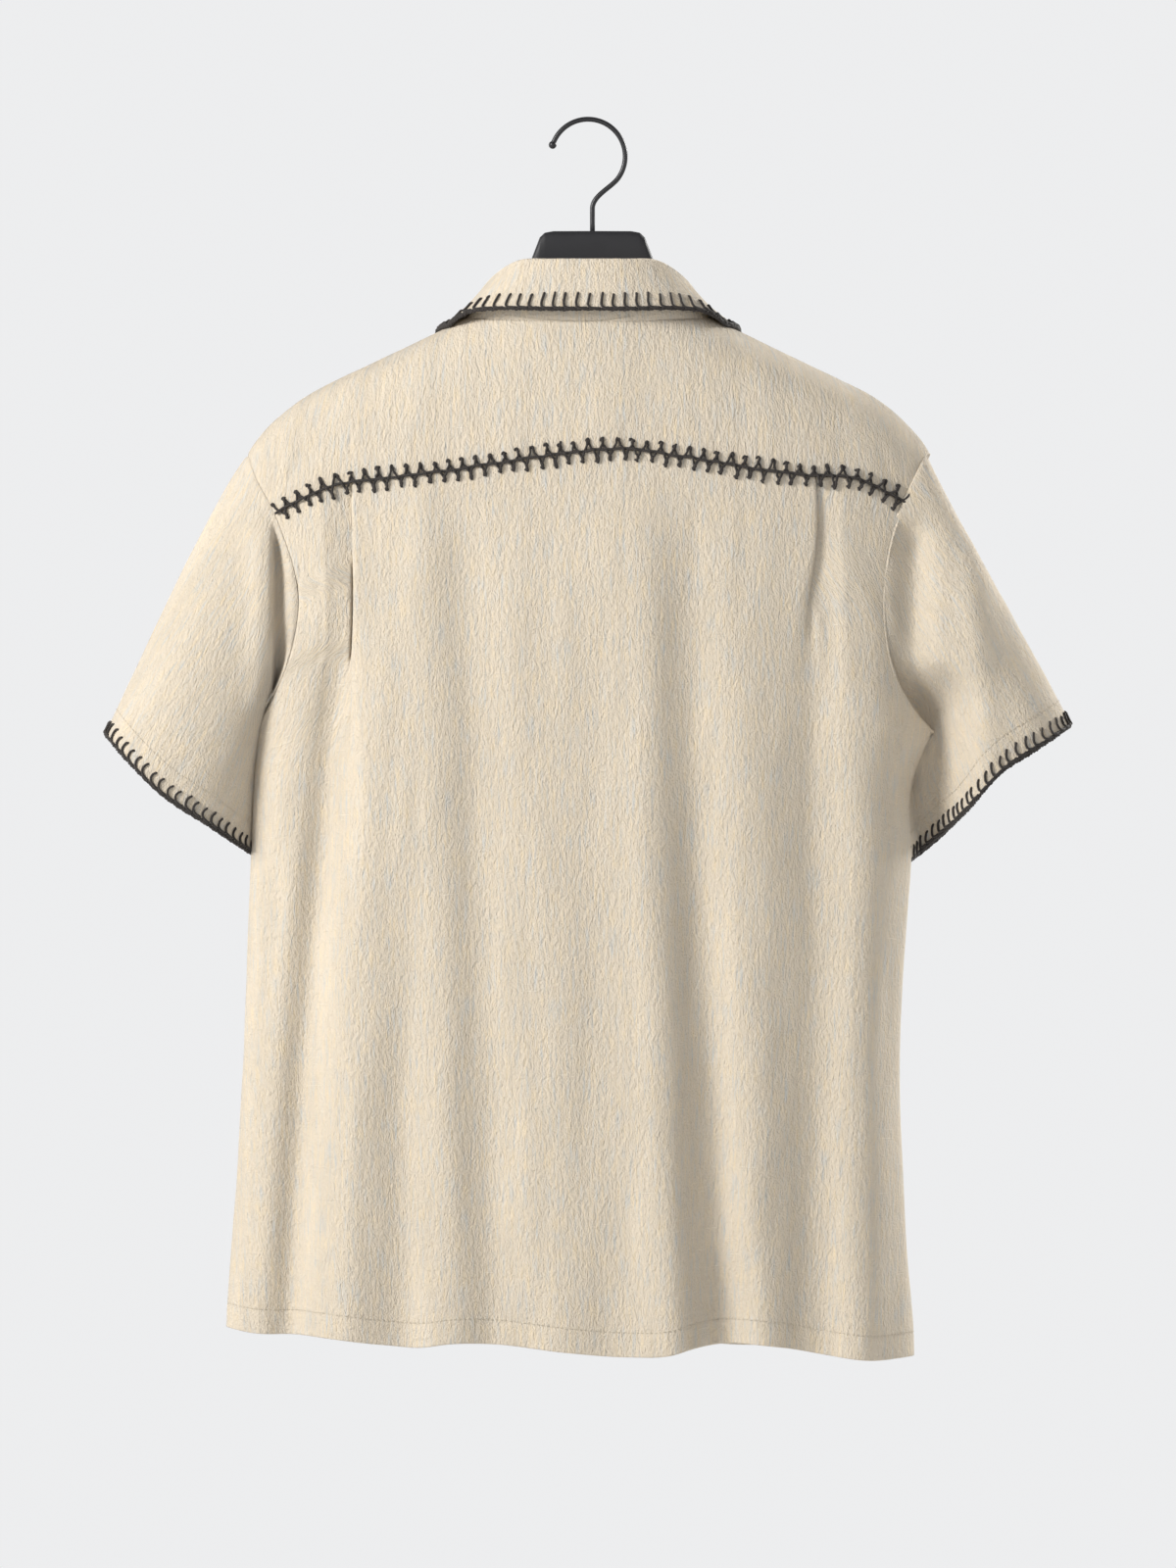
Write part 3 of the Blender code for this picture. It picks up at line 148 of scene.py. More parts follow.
YOKE_CREASES = (
    (118, -216, 121, -246, 2.4, -0.7, 0), (84, -222, 86, -244, 2, 0.5, 0),
    (40, -214, 42, -238, 2.6, -0.6, 0), (-27, -206, -27, -232, 2.6, -0.7, 0),
    (-64, -208, -66, -236, 2.4, -0.6, 0), (-118, -214, -121, -244, 2.6, -0.6, 0),
    (-166, -214, -170, -248, 3, 0.6, 0), (196, -214, 214, -262, 4, -0.8, 3),
    (180, -216, 196, -262, 5, 0.7, 3), (-200, -216, -214, -256, 4, -0.8, -3),
    (-60, -160, -150, -190, 9, 0.6, 4), (64, -160, 150, -186, 9, 0.6, 4),
)

# Back pleats: the line each follows (columns: z, x), and the section across one
PLEAT_LINE_LEFT = (
    (-245, 163), (-380, 163), (-480, 174), (-620, 194), (-870, 208),
)
PLEAT_LINE_RIGHT = (
    (-245, -156), (-380, -156), (-620, -158), (-870, -160),
)
# Columns: closed, toward the side and outward; open, toward the side and outward
PLEAT_SECTION = (
    (-10, 0, -26, 0), (-1.4, 0, -20, -0.2), (0, -1.2, -14, -0.8), (-1.4, -2.4, -8, -1.8),
    (-11, -2.4, -3, -2.6), (-12.4, -3.6, 2, -2.8), (-11, -4.8, 7, -2.4), (1, -4.8, 12, -1.6),
    (12, -2.2, 18, -0.6), (20, 0, 24, 0),
)
# Columns: z, share opened on the left, on the right
PLEAT_OPENS = (
    (-245, 0, 0), (-320, 0, 0.05), (-350, 0, 0.5), (-385, 0.05, 0.9), (-412, 0.25, 1),
    (-445, 0.6, 1), (-490, 0.92, 1), (-560, 1, 1), (-870, 1, 1),
)
PLEAT_TOP_SHARE = 0.42
PLEAT_TOP_FADE = 55.0 * MM
# The left pleat gapes between two heights: how deep, and how far its lip draws back
SLIT_TOP_Z = -318.0 * MM
SLIT_LOW_Z = -392.0 * MM
SLIT_FADE = 22.0 * MM
SLIT_DEEP = 12.0
SLIT_HALF = 0.9
SLIT_LIP = 0.8
PLEAT_STEPS = np.concatenate([
    np.linspace(0.0, 6.4, 22), np.linspace(6.5, 7.5, 22), np.linspace(7.6, 9.0, 8),
])
ARMPIT_SHARE = 0.27

# Fronts: the roll line of the open collar runs from the gorge to the break
GORGE = (72.0 * MM, -157.0 * MM)
BREAK_Z = -262.0 * MM
PLACKET_HALF = 15.0 * MM
LAYER = 0.95 * MM
LAYER_FADE = 30.0 * MM
BREAK_BLEND = 40.0 * MM
ROLL_RADIUS = 1.8 * MM
LAPEL_LIFT = 1.9 * MM
LAPEL_SETTLE = 30.0 * MM
LAPEL_SHARE = 0.78
LAPEL_CROWD = 1.3
LAPEL_SLACK = 0.6
LAPEL_TURN_LEFT = (-272.0 * MM, -246.0 * MM)
LAPEL_TURN_RIGHT = (-228.0 * MM, -204.0 * MM)
FRONT_INNER_ROWS = (-157.0, -178.0, -196.0, -211.0, -224.0, -236.0, -247.0, -258.0, -271.0, -290.0)
FRONT_UPPER_ROWS = 9
FRONT_LOWER_ROWS = 11
SHOULDER_COLUMNS = 11
GORGE_COLUMNS = 3

# Sleeves.  Columns of a cuff: outer x, outer z, inner x, inner z, half depth.
# Columns of its bow: share from the inner end, lift
CUFF_LEFT = (334.0, -424.0, 238.5, -509.0, 43.0)
CUFF_RIGHT = (334.0, -418.0, 231.5, -517.0, 43.0)
CUFF_BOW_LEFT = ((0.0, 0.0), (0.3, -1.0), (0.62, -6.0), (0.85, -3.5), (1.0, 0.0))
CUFF_BOW_RIGHT = ((0.0, 0.0), (0.25, 5.0), (0.55, 14.0), (0.8, 7.0), (1.0, 0.0))
CUFF_FRONT_DROP = 4.0
UNDERARM_BOW = 1.5 * MM
UNDERARM_FRONT = 20.0 * MM
UNDERARM_TUCK = {1: 9.0 * MM, -1: 15.0 * MM}
# The fold beside the left armhole drops at once from its ridge and rises slowly to the seam
LEFT_VALLEY_EDGE = 219.5
LEFT_VALLEY_DROP = 3.5
LEFT_VALLEY_RISE = 13.0
LEFT_VALLEY_DEEP = 12.0
# Other sleeve folds: distance from the middle, half width, height
LEFT_RIDGE = (226.0, 9.0, 4.0)
RIGHT_VALLEY = (-224.0, 13.0, -12.0)
RIGHT_RIDGE = (-268.0, 14.0, 6.0)
RIGHT_LOW_VALLEY = (-239.0, 25.0, -36.0)
RIGHT_LOW_FROM = -370.0 * MM
RIGHT_LOW_FADE = 40.0 * MM
SLEEVE_FOLD_TOP_Z = -266.0 * MM
SLEEVE_FOLD_LOW_Z = -428.0 * MM
RIGHT_RIDGE_TOP_Z = -262.0 * MM
# Pull of the cloth where it leaves the armhole and where it meets the cuff, and how far the
# cuff leans outward: at the underarm, and at the shoulder line
START_PULL = (11.0 * MM, 95.0 * MM)
END_PULL = (70.0 * MM, 120.0 * MM)
CUFF_LEAN = (0.02, 0.46)
SHOULDER_NORMAL = (0.62, 0.0, 0.78)
SIDE_NORMAL = (1.0, 0.0, 0.0)

# Collar: stations from the centre back (0) to the front end (1).
# Columns: place, top fold x, y, z, leaf edge x, y, z
COLLAR = (
    (0, 0, 42, -98, 0, 46.5, -131.5), (0.14, 25, 41, -98, 28, 46, -131.5),
    (0.29, 47, 35.5, -98.6, 56, 42, -131), (0.43, 62.5, 24.5, -107, 81.5, 31, -133),
    (0.57, 73.5, 8, -118.5, 96.5, 12, -142.5), (0.72, 79, -10.5, -130, 103.5, -18, -153.5),
    (0.86, 78.5, -27.5, -139.5, 107, -39.5, -172), (1, 72, -40.5, -152.5, 104, -48, -197),
)
COLLAR_SIDE_PLACE = 0.68
COLLAR_FOLD_RADIUS = 1.7 * MM
COLLAR_SKIN = 0.6 * MM
COLLAR_CLEARANCE = 1.5 * MM
COLLAR_EDGE_LIFT = 0.6 * MM
COLLAR_TUCK = 1.0 * MM
COLLAR_TUCK_DROP = 1.9 * MM
COLLAR_SEAM_GAP = 0.5 * MM
COLLAR_FRONT_GAP = 0.8 * MM

HEM_TURN = 16.0 * MM
CUFF_TURN = 18.0 * MM
CUFF_RELIEF = 0.4
TURN_RADIUS = 0.55 * MM
TURN_ROWS = 6
# Relief along a hem, in millimetres: the stitched groove, the band below it, the pucker
HEM_RELIEF = (-0.16, 0.1, 0.22)
EDGE_ROLL = 0.7 * MM
EDGE_WIDTH = 1.3 * MM
# Counts of points in the cloth's grids; a collar's columns are its stand, fold and leaf
BACK_ROWS = 188
BACK_MIDDLE = 44
BACK_OUTER = 28
YOKE_ROWS = 64
YOKE_NECK = 34
FRONT_UPPER = 74
FRONT_LOWER = 110
FRONT_SHOULDER = 70
FRONT_GORGE = 22
FRONT_FLAP = 26
SLEEVE_ROUND = 150
SLEEVE_ROWS = 120
COLLAR_ROWS = 80
COLLAR_COLUMNS = (14, 12, 26)
YOKE_SEED = 23
BACK_SEED = 11
FRONT_SEED = 31
SLEEVE_SEED = 41
YOKE_UNEVEN = 0.35
CLOTH_UNEVEN = 0.5

# Stitches.  Columns of a stitch: along the seam, away from it (mm), height above the cloth
# in thread radii
STRIP_STEP = 0.5 * MM
COLLAR_PITCH = 8.3 * MM
COLLAR_THREAD = 0.86 * MM
COLLAR_LEG = (
    (1, 10.2, -1.6), (0.95, 9.8, 0.3), (0.7, 8.6, 1), (0.35, 6.4, 0.95), (0.05, 4.2, 0.95),
    (0, 2.4, 1), (0.45, 1, 1.1), (1.5, 0.1, 1.2), (3.2, -0.3, 1.1), (5.4, -0.4, 0.9),
    (7.4, -0.1, 0.6),
)
CUFF_PITCH = 7.4 * MM
CUFF_THREAD = 0.84 * MM
CUFF_LEG = (
    (2, 8.9, -1.5), (1.7, 8.6, 0.3), (0.9, 7.7, 1), (0, 6.3, 1), (-0.55, 4.4, 1), (-0.5, 2.6, 1),
    (0.2, 1.1, 1.1), (1.4, 0.3, 1.2), (3, -0.1, 1.1), (4.6, -0.2, 0.8), (5.8, 0.1, 0.5),
)
CUFF_INNER_LEG = (
    (1.9, 8.9, -0.5), (1.5, 8.3, 0.8), (0.6, 6, 0.9), (0.2, 3, 0.9), (0, 0.8, 1),
    (0.3, -0.4, 0.2),
)
YOKE_STITCH_ENDS = (215.0, -218.0)
YOKE_PITCH = 9.8 * MM
YOKE_THREAD = 0.84 * MM
YOKE_DOWN = (
    (-1.5, 6.2, -0.8), (-0.9, 7.2, 0.8), (-0.1, 7.5, 1), (0.35, 6.4, 1), (0.4, 4.8, 1),
    (0.8, 3.2, 1.1), (1.9, 1.4, 1.1), (2.9, -0.4, 2.2), (3.8, -2.2, 1.1), (4.5, -3.9, 1),
    (4.6, -5.6, 1), (4.4, -6.9, 1), (5, -7.6, 0.6), (5.6, -7.2, -0.8),
)
YOKE_UP = (
    (3.6, -6.4, -0.8), (4.4, -7, 0.9), (5.2, -6.6, 1.3), (5.5, -5.2, 1.6), (5.3, -3.8, 2.2),
    (6.1, -2.2, 1.6), (7, -0.2, 0.9), (8, 1.5, 1.2), (9, 3.2, 2), (9.4, 4.8, 2.2),
    (9.3, 6.2, 1.6), (9.8, 7.1, 0.6), (10.3, 6.6, -0.8),
)
STITCH_WOBBLE = 0.12
CORD_SIZE = 1.18
CORD_STEP = 0.85 * MM
CORD_TWIST = 1.5
CORD_PLACE = -0.35 * MM
CORD_SAG = 0.65 * MM
SHORTER_FROM = 72.0 * MM
SHORTER_OVER = 40.0 * MM
DASH = 2.5 * MM
DASH_PITCH = 3.3 * MM
# Machine stitches on the yoke below the collar.  Columns: x, z
NECK_STITCH = (
    (59, -135.5), (46, -137.6), (30.6, -139), (0, -140.2), (-19.7, -138.6), (-35.4, -136.3),
    (-47, -134.5), (-61, -132.4),
)

FINE_THREAD = 0.24 * MM

# Button, turned about its middle.  Columns: radius, depth toward the cloth
BUTTON_PROFILE = (
    (0.01, -0.15), (2.9, -0.15), (3.3, -0.45), (3.8, -1.05), (4.4, -1.28), (5, -1.15),
    (5.5, -0.6), (5.6, 0), (5.4, 0.7), (4.6, 1.2), (3, 1.3), (0.01, 1.3),
)
HOLE_PLACE = 1.7 * MM
HOLE_RADIUS = 0.72

# Hanger sections from the middle outward.  Columns: x, top z, low z, half thickness
HANGER_MIDDLE_X = -3.0
HANGER_BLOCK = (
    (0, -76, -150, 10.8), (27, -76.1, -148, 10.8), (33, -77.2, -147.5, 10.8),
    (36.5, -80.5, -147.3, 10.7), (43, -97.5, -146, 10.3), (57, -118, -150, 9.8),
    (71, -137, -162, 9.8),
)
HANGER_ARM_X = (88.0, 98.0, 112.0, 130.0, 150.0, 170.0, 188.0)
HANGER_TIP_X = (198.0, 204.0)
HANGER_TIP_SHARES = {198.0: 0.8, 204.0: 0.45}
# The first stations are joined by straight lines, the others by a smooth curve
HANGER_BLOCK_ROWS = 5.0
HANGER_FINE = 6
HANGER_SIDES = 56
HANGER_EDGE = 1.1 * MM
ARM_HEIGHT = 25.0
ARM_HALF = 10.2
# Room between the arm and the cloth over it, nearer the neck than this x and beyond it
ARM_ROOM = (3.1, 2.1)
ARM_ROOM_X = 115.0
BLOCK_POWER = 0.36
ARM_POWER = 0.75
WIRE_RADIUS = 1.75 * MM
CROOK_RADIUS = 25.8 * MM
CROOK_START = math.radians(216.0)
CROOK_END = math.radians(18.0)
STEM_X = -3.1 * MM
STEM_LOW_Z = -75.6 * MM
STEM_TOP_Z = -60.0 * MM
LEAVE_PULL = 26.0 * MM
ARRIVE_PULL = 24.0 * MM
BALL_RADIUS = 2.75 * MM

# Cloth colours: the base, its yellow and grey streaks, its pale slubs
FABRIC_BASE = (0.605, 0.530, 0.428, 1.0)
FABRIC_YELLOW = (0.680, 0.560, 0.385, 1.0)
FABRIC_GREY = (0.490, 0.500, 0.490, 1.0)
FABRIC_PALE = (0.780, 0.710, 0.600, 1.0)
# Scales of the crinkle's noise: across the cloth, down it
CRINKLE = (400.0, 165.0, 1.0)
FINE_CRINKLE = (950.0, 620.0, 1.0)
CRINKLE_DEPTH = 1.6 * MM
YARN_PITCH = 0.55 * MM
THREAD_PLIES = 3

FLOOR_RADIUS = 6.0
FLOOR_DEPTH = 0.02
FLOOR_Z = -1.61
FLOOR_COLOURS = ((0.60, 0.60, 0.595, 1.0), (0.66, 0.66, 0.655, 1.0))
# Columns: from, to (metres from the middle; height of the view), light there and there
FLOOR_GLOW = (0.9, 4.0, 0.0, 0.5)
SKY_TONE = (0.14, 0.4, 0.86, 0.24)
SKY_COLOUR = (0.985, 0.99, 1.0, 1.0)
LIGHT_TARGET = (0.0, 0.0, -0.42)
KEY_COLOUR = (1.0, 0.985, 0.955)
WHITE = (1.0, 1.0, 1.0)
# Columns: name, place, diameter, power, colour
LIGHTS = (
    ("key", (2.9, 2.0, 1.2), 1.4, 168.0, KEY_COLOUR),
    ("fill", (-1.6, 3.0, 0.4), 1.6, 5.0, WHITE),
    ("front_key", (-2.9, -2.0, 1.2), 1.4, 168.0, KEY_COLOUR),
    ("front_fill", (1.6, -3.0, 0.4), 1.6, 5.0, WHITE),
)
CAMERA_DISTANCE = 6.0
CAMERA_Z = -0.4595
FRAME_HEIGHT = 1.088


def ease(t):
    t = np.clip(t, 0.0, 1.0)
    return t * t * (3.0 - 2.0 * t)


def mix(a, b, t):
    return a + (b - a) * t


def unit(v):
    return v / np.maximum(np.linalg.norm(v, axis=-1, keepdims=True), 1e-12)


def hermite(t, start, end, leave, arrive):
    """A cubic from start (t = 0) to end (t = 1) with the given slopes at both."""
    first = (1 + 2 * t) * (1 - t) ** 2 * start + t * (1 - t) ** 2 * leave
    return first + t * t * (3 - 2 * t) * end - t * t * (1 - t) * arrive


def through_rows(rows, step, slack=1.0):
    """A smooth curve through evenly numbered rows, read at places between them."""
    slopes = slack * np.gradient(rows, axis=0)
    i = np.clip(np.floor(step).astype(int), 0, len(rows) - 2)
    t = np.clip(step - i, 0.0, 1.0).reshape(step.shape + (1,) * (rows.ndim - 1))
    return hermite(t, rows[i], rows[i + 1], slopes[i], slopes[i + 1])


def smooth_table(rows, column=1, unit=MM):
    """A smooth function through a table's rows; it reads whole arrays at once."""
    ordered = sorted(rows, key=lambda row: row[0])
    keys = np.array([row[0] for row in ordered]) * unit
    values = np.array([row[column] for row in ordered]) * unit
    slopes = np.gradient(values, keys)

    def read(key):
        key = np.clip(key, keys[0], keys[-1])
        i = np.clip(np.searchsorted(keys, key) - 1, 0, len(keys) - 2)
        span = keys[i + 1] - keys[i]
        t = (key - keys[i]) / span
        return hermite(t, values[i], values[i + 1], span * slopes[i], span * slopes[i + 1])

    return read


WIDTH_LEFT = smooth_table(WIDTHS, 1)
WIDTH_RIGHT = smooth_table(WIDTHS, 2)
DEPTH_OF = smooth_table(DEPTHS)
ARMHOLE_OF = {1: smooth_table(ARMHOLE_BACK, 1), -1: smooth_table(ARMHOLE_BACK, 2)}
YOKE_SEAM_OF = smooth_table(YOKE_SEAM)
HEM_OF = smooth_table(HEM)
PLEAT_LINE_OF = {1: smooth_table(PLEAT_LINE_LEFT), -1: smooth_table(PLEAT_LINE_RIGHT)}
PLEAT_OPEN_READ = {1: smooth_table(PLEAT_OPENS, 1, 1.0), -1: smooth_table(PLEAT_OPENS, 2, 1.0)}


def width_of(x, z):
    return np.where(np.asarray(x) >= 0.0, WIDTH_LEFT(z), WIDTH_RIGHT(z))


def ridge_tables():
    heights = np.linspace(RIDGE_TOP_Z, RIDGE_LOW_Z, 600)
    return {1: (WIDTH_LEFT(heights), heights), -1: (WIDTH_RIGHT(heights), heights)}


RIDGE = ridge_tables()


def ridge_z(x):
    left = np.interp(np.abs(x), *RIDGE[1])
    right = np.interp(np.abs(x), *RIDGE[-1])
    return np.where(np.asarray(x) >= 0.0, left, right)


def neck_z(x):
    share = np.clip(np.abs(x) / NECK_HALF, 0.0, 1.0)
    return NECK_SIDE_Z - NECK_BACK_DIP * (1.0 - share * share)


def fold_height(folds, x, z):
    total = np.zeros(np.broadcast(x, z).shape)
    for x_top, x_middle, x_low, z_top, half, top, low in folds:
        t = np.maximum((z / MM - z_top) / (FOLD_END_Z - z_top), 0.0)
        control = 2.0 * x_middle - 0.5 * (x_top + x_low)
        line = (1 - t) ** 2 * x_top + 2 * t * (1 - t) * control + t * t * x_low
        across = (x / MM - line) / half
        grow = ease((z_top * MM - z) / FOLD_FADE)
        total = total + mix(top, low, t) * grow * np.exp(-across * across)
    return total * MM


def crease_height(creases, x, z):
    """Soft troughs and ridges along short lines, fading out at both ends."""
    total = np.zeros(np.broadcast(x, z).shape)
    for x0, z0, x1, z1, half, height, bow in creases:
        dx, dz = x1 - x0, z1 - z0
        size = math.hypot(dx, dz)
        along = ((x / MM - x0) * dx + (z / MM - z0) * dz) / size ** 2
        across = ((x / MM - x0) * dz - (z / MM - z0) * dx) / size
        across = across - bow * 4.0 * along * (1.0 - along)
        window = ease(along / 0.35) * ease((1.0 - along) / 0.35)
        total = total + height * window * np.exp(-(across / half) ** 2)
    return total * MM


def wave_noise(x, z, size_x, size_z, seed):
    """Smooth uneven relief between -1 and 1 from a seeded lattice."""
    lattice = np.random.RandomState(seed).uniform(-1.0, 1.0, (64, 64))
    u, v = x / size_x + 200.0, z / size_z + 200.0
    i, j = np.floor(u).astype(int), np.floor(v).astype(int)
    a, b = ease(u - i), ease(v - j)
    i, j = i % 63, j % 63
    low = mix(lattice[i, j], lattice[i + 1, j], a)
    high = mix(lattice[i, j + 1], lattice[i + 1, j + 1], a)
    return mix(low, high, b)


def body_y(x, z, face):
    """Depth of the shirt's surface: face is 1 for the back and -1 for the front."""
    half = width_of(x, z)
    inside = 1.0 - np.minimum(np.abs(x) / half, 1.0) ** SECTION_POWER
    rise = np.sqrt(np.maximum(inside, 0.0))
    back, front = (fold_height(table, x, z) for table in (BACK_FOLDS, FRONT_FOLDS))
    folds = np.where(np.asarray(face) > 0, back, front)
    return face * (DEPTH_OF(z) * rise + folds * ease(rise * 1.6))


def crowd(count, low=0.0, high=1.0, *, pull):
    """Samples from low to high that crowd together at both ends."""
    s = np.linspace(0.0, 1.0, count)
    return mix(low, high, s - pull * np.sin(2 * math.pi * s) / (2 * math.pi))


def yoke_front_drop(x):
    return YOKE_FRONT_DROP * ease((np.abs(x) - NECK_HALF) / YOKE_FRONT_FADE) + SEAM


def armhole_tables():
    drops, ends = {}, {}
    for side in (1, -1):
        z = np.linspace(SHOULDER_Z, UPPER_ARMHOLE_Z, 200)
        x = ARMHOLE_OF[side](z)
        first = int(np.argmax(z <= YOKE_SEAM_OF(side * x)))
        ends[side] = (float(x[first]), float(z[first]))
        drops[side] = (np.maximum(ridge_z(side * x) - z, 0.0), x)
    return drops, ends


ARM_DROPS, YOKE_ENDS = armhole_tables()


def armhole_x(side, z, face):
    x = ARMHOLE_OF[side](z)
    if face > 0:
        return x
    reach = ease((SHOULDER_Z - z) / FRONT_ARMHOLE_FADE) * ease((z - ARMPIT_Z) / FRONT_ARMPIT_FADE)
    return x - FRONT_ARMHOLE_INSET * reach


def armhole_x_at_drop(side, drop, on_front):
    x = np.interp(drop, *ARM_DROPS[side])
    z = ridge_z(side * x) - drop
    inset = FRONT_ARMHOLE_INSET * ease((SHOULDER_Z - z) / FRONT_ARMHOLE_FADE)
    return x - np.where(on_front, inset, 0.0)


def yoke_points(side, place, t):
    """place: below 0 across the neck from the centre, 0 to 1 along the shoulder."""
    end_x, end_z = YOKE_ENDS[side]
    edge_first = -math.sqrt(YOKE_FRONT_DROP)
    edge_last = math.sqrt(float(ridge_z(side * end_x)) - end_z)
    edge_q = mix(edge_first, edge_last, t)
    reach = armhole_x_at_drop(side, edge_q * edge_q, edge_q <= 0)
    neck = place < 0.0
    x = np.where(neck, NECK_HALF * (1.0 + place), mix(NECK_HALF, reach, place))
    last_x = np.where(neck, NECK_HALF * (1.0 + place), mix(NECK_HALF, end_x, place))
    top = np.where(neck, neck_z(x), ridge_z(side * x))
    last_top = np.where(neck, neck_z(last_x), ridge_z(side * last_x))
    first = np.where(neck, 0.0, -np.sqrt(yoke_front_drop(x)))
    last = np.sqrt(last_top - YOKE_SEAM_OF(side * last_x))
    q = mix(first, last, t)
    z = top - q * q
    face = np.where(q >= 0, 1.0, -1.0)
    return np.stack([side * x, body_y(side * x, z, face), z], axis=-1)


def panel_edge_z(v, top, low):
    above = mix(top, ARMPIT_Z, v / ARMPIT_SHARE)
    below = mix(ARMPIT_Z, low, (v - ARMPIT_SHARE) / (1.0 - ARMPIT_SHARE))
    return np.where(v <= ARMPIT_SHARE, above, below)


def hem_edge_z(side):
    return HEM_OF(side * width_of(side, SIDE_HEM_Z))


def back_edge(side, v):
    z = panel_edge_z(v, YOKE_ENDS[side][1], hem_edge_z(side))
    x = np.where(z > ARMPIT_Z, armhole_x(side, z, 1), width_of(side, z))
    return x, z


def pleat_offset(step, opened):
    """Offset toward the side and outward, smoothly along the pleat's section."""
    read = through_rows(np.array(PLEAT_SECTION), step) * MM
    return mix(read[..., 0], read[..., 2], opened), mix(read[..., 1], read[..., 3], opened)


def back_half(side, v, middle, outer):
    """Points of half the back: v down the rows, columns from the centre to the side."""
    v = v[:, None]
    edge_x, edge_z = back_edge(side, v)
    line = np.abs(PLEAT_LINE_OF[side](edge_z))
    opened = PLEAT_OPEN_READ[side](edge_z / MM)
    below = YOKE_SEAM_OF(side * line) - edge_z
    pressed = mix(PLEAT_TOP_SHARE, 1.0, ease(below / PLEAT_TOP_FADE))
    last = len(PLEAT_SECTION) - 1
    start = line + pleat_offset(np.zeros(1), opened)[0]
    end = line + pleat_offset(np.full(1, float(last)), opened)[0]
    first = start * np.linspace(0.0, 1.0, middle)[None, :-1]
    step = PLEAT_STEPS[None, :]
    across, inward = pleat_offset(step, opened)
    inward = inward * pressed
    if side > 0:
        gape = ease((SLIT_TOP_Z - edge_z) / SLIT_FADE) * ease((edge_z - SLIT_LOW_Z) / SLIT_FADE)
        groove = np.exp(-((across / MM - 0.3) / SLIT_HALF) ** 2) * (step > 6.2)
        inward = inward - SLIT_DEEP * MM * gape * groove
        across = across - SLIT_LIP * MM * gape * np.exp(-(step - 1.8) ** 2)
    share = 1.0 - (1.0 - np.linspace(0.0, 1.0, outer)[None, 1:]) ** 2.0
    third = mix(end, edge_x, share)
    x = np.concatenate([first, line + across, third], axis=1)
    inward = np.concatenate([first * 0.0, inward, third * 0.0], axis=1)
    at_edge = mix(YOKE_SEAM_OF(side * edge_x), HEM_OF(side * edge_x), v)
    z = mix(YOKE_SEAM_OF(side * x), HEM_OF(side * x), v)
    z = z + (edge_z - at_edge) * (x / edge_x) ** 4
    x = np.minimum(x, width_of(side, z))
    return np.stack([side * x, body_y(side * x, z, 1.0) + inward, z], axis=-1)


def front_hem_z(side, x):
    share = np.abs(x) / width_of(side, SIDE_HEM_Z)
    return mix(FRONT_HEM_Z, hem_edge_z(side), ease(share))


def front_top_x(side, c):
    arm_x = float(armhole_x_at_drop(side, YOKE_FRONT_DROP, True))
    t = np.clip((c - SHOULDER_COLUMNS) / GORGE_COLUMNS, 0.0, 1.0)
    shoulder = mix(arm_x, NECK_HALF, np.clip(c / SHOULDER_COLUMNS, 0.0, 1.0))
    return np.where(c <= SHOULDER_COLUMNS, shoulder, mix(NECK_HALF, GORGE[0], t * t))


def front_top_z(side, x):
    neck_low = ridge_z(side * NECK_HALF) - yoke_front_drop(NECK_HALF)
    neck = mix(neck_low, GORGE[1], (NECK_HALF - x) / (NECK_HALF - GORGE[0]))
    return np.where(x >= NECK_HALF, ridge_z(side * x) - yoke_front_drop(x), neck)


def front_edge(side, v):
    arm_x = float(front_top_x(side, np.zeros(1))[0])
    arm_top = float(front_top_z(side, np.array(arm_x)))
    z = panel_edge_z(v, arm_top, hem_edge_z(side))
    fit = arm_x - float(armhole_x(side, np.array(arm_top), -1))
    upper = armhole_x(side, z, -1) + fit * (1.0 - v / ARMPIT_SHARE)
    return np.where(z <= ARMPIT_Z, width_of(side, z), upper), z


def roll_x(z):
    return np.where(z > BREAK_Z, GORGE[0] * (z - BREAK_Z) / (GORGE[1] - BREAK_Z), 0.0)


def bend(distance, angle):
    arc = ROLL_RADIUS * angle
    beta = np.minimum(distance, arc) / ROLL_RADIUS
    rest = np.maximum(distance - arc, 0.0)
    along = ROLL_RADIUS * np.sin(beta) + rest * np.cos(angle)
    away = ROLL_RADIUS * (1 - np.cos(beta)) + rest * np.sin(angle)
    return along, away


def layer_of(side, x):
    return side * LAYER * (1.0 - ease((np.abs(x) - PLACKET_HALF) / LAYER_FADE))


def flap(side, inner_x, inner_z, shares):
    """The turned-out lapel above the break, the placket edge below it."""
    low, high = LAPEL_TURN_LEFT if side > 0 else LAPEL_TURN_RIGHT
    angle = math.pi * ease((inner_z - low) / (high - low))
    line = np.array([-GORGE[0], BREAK_Z - GORGE[1]])
    line = line / np.linalg.norm(line)
    t = ease((BREAK_Z - inner_z) / BREAK_BLEND)
    line_x, line_z = mix(line[0], 0.0, t), mix(line[1], -1.0, t)
    size = np.hypot(line_x, line_z)
    line_x, line_z = line_x / size, line_z / size
    dot = -line_x
    across_x, across_z = -1.0 - line_x * dot, -line_z * dot
    size = np.hypot(across_x, across_z)
    across_x, across_z = across_x / size, across_z / size
    width = (inner_x + PLACKET_HALF) * mix(1.0, LAPEL_SHARE, ease(inner_x / GORGE[0]))
    distance = width * shares ** LAPEL_CROWD
    along, away = bend(distance * size, angle)
    folded = angle / math.pi
    settled = mix(away, LAPEL_LIFT, ease(distance / LAPEL_SETTLE) * folded)
    away = np.where(folded > 0.5, settled, away)
    x = inner_x + line_x * dot * distance + across_x * along
    z = inner_z + line_z * dot * distance + across_z * along
    y = body_y(side * x, z, -1.0) - layer_of(side, side * x) - away
    return np.stack([side * x, y, z], axis=-1)


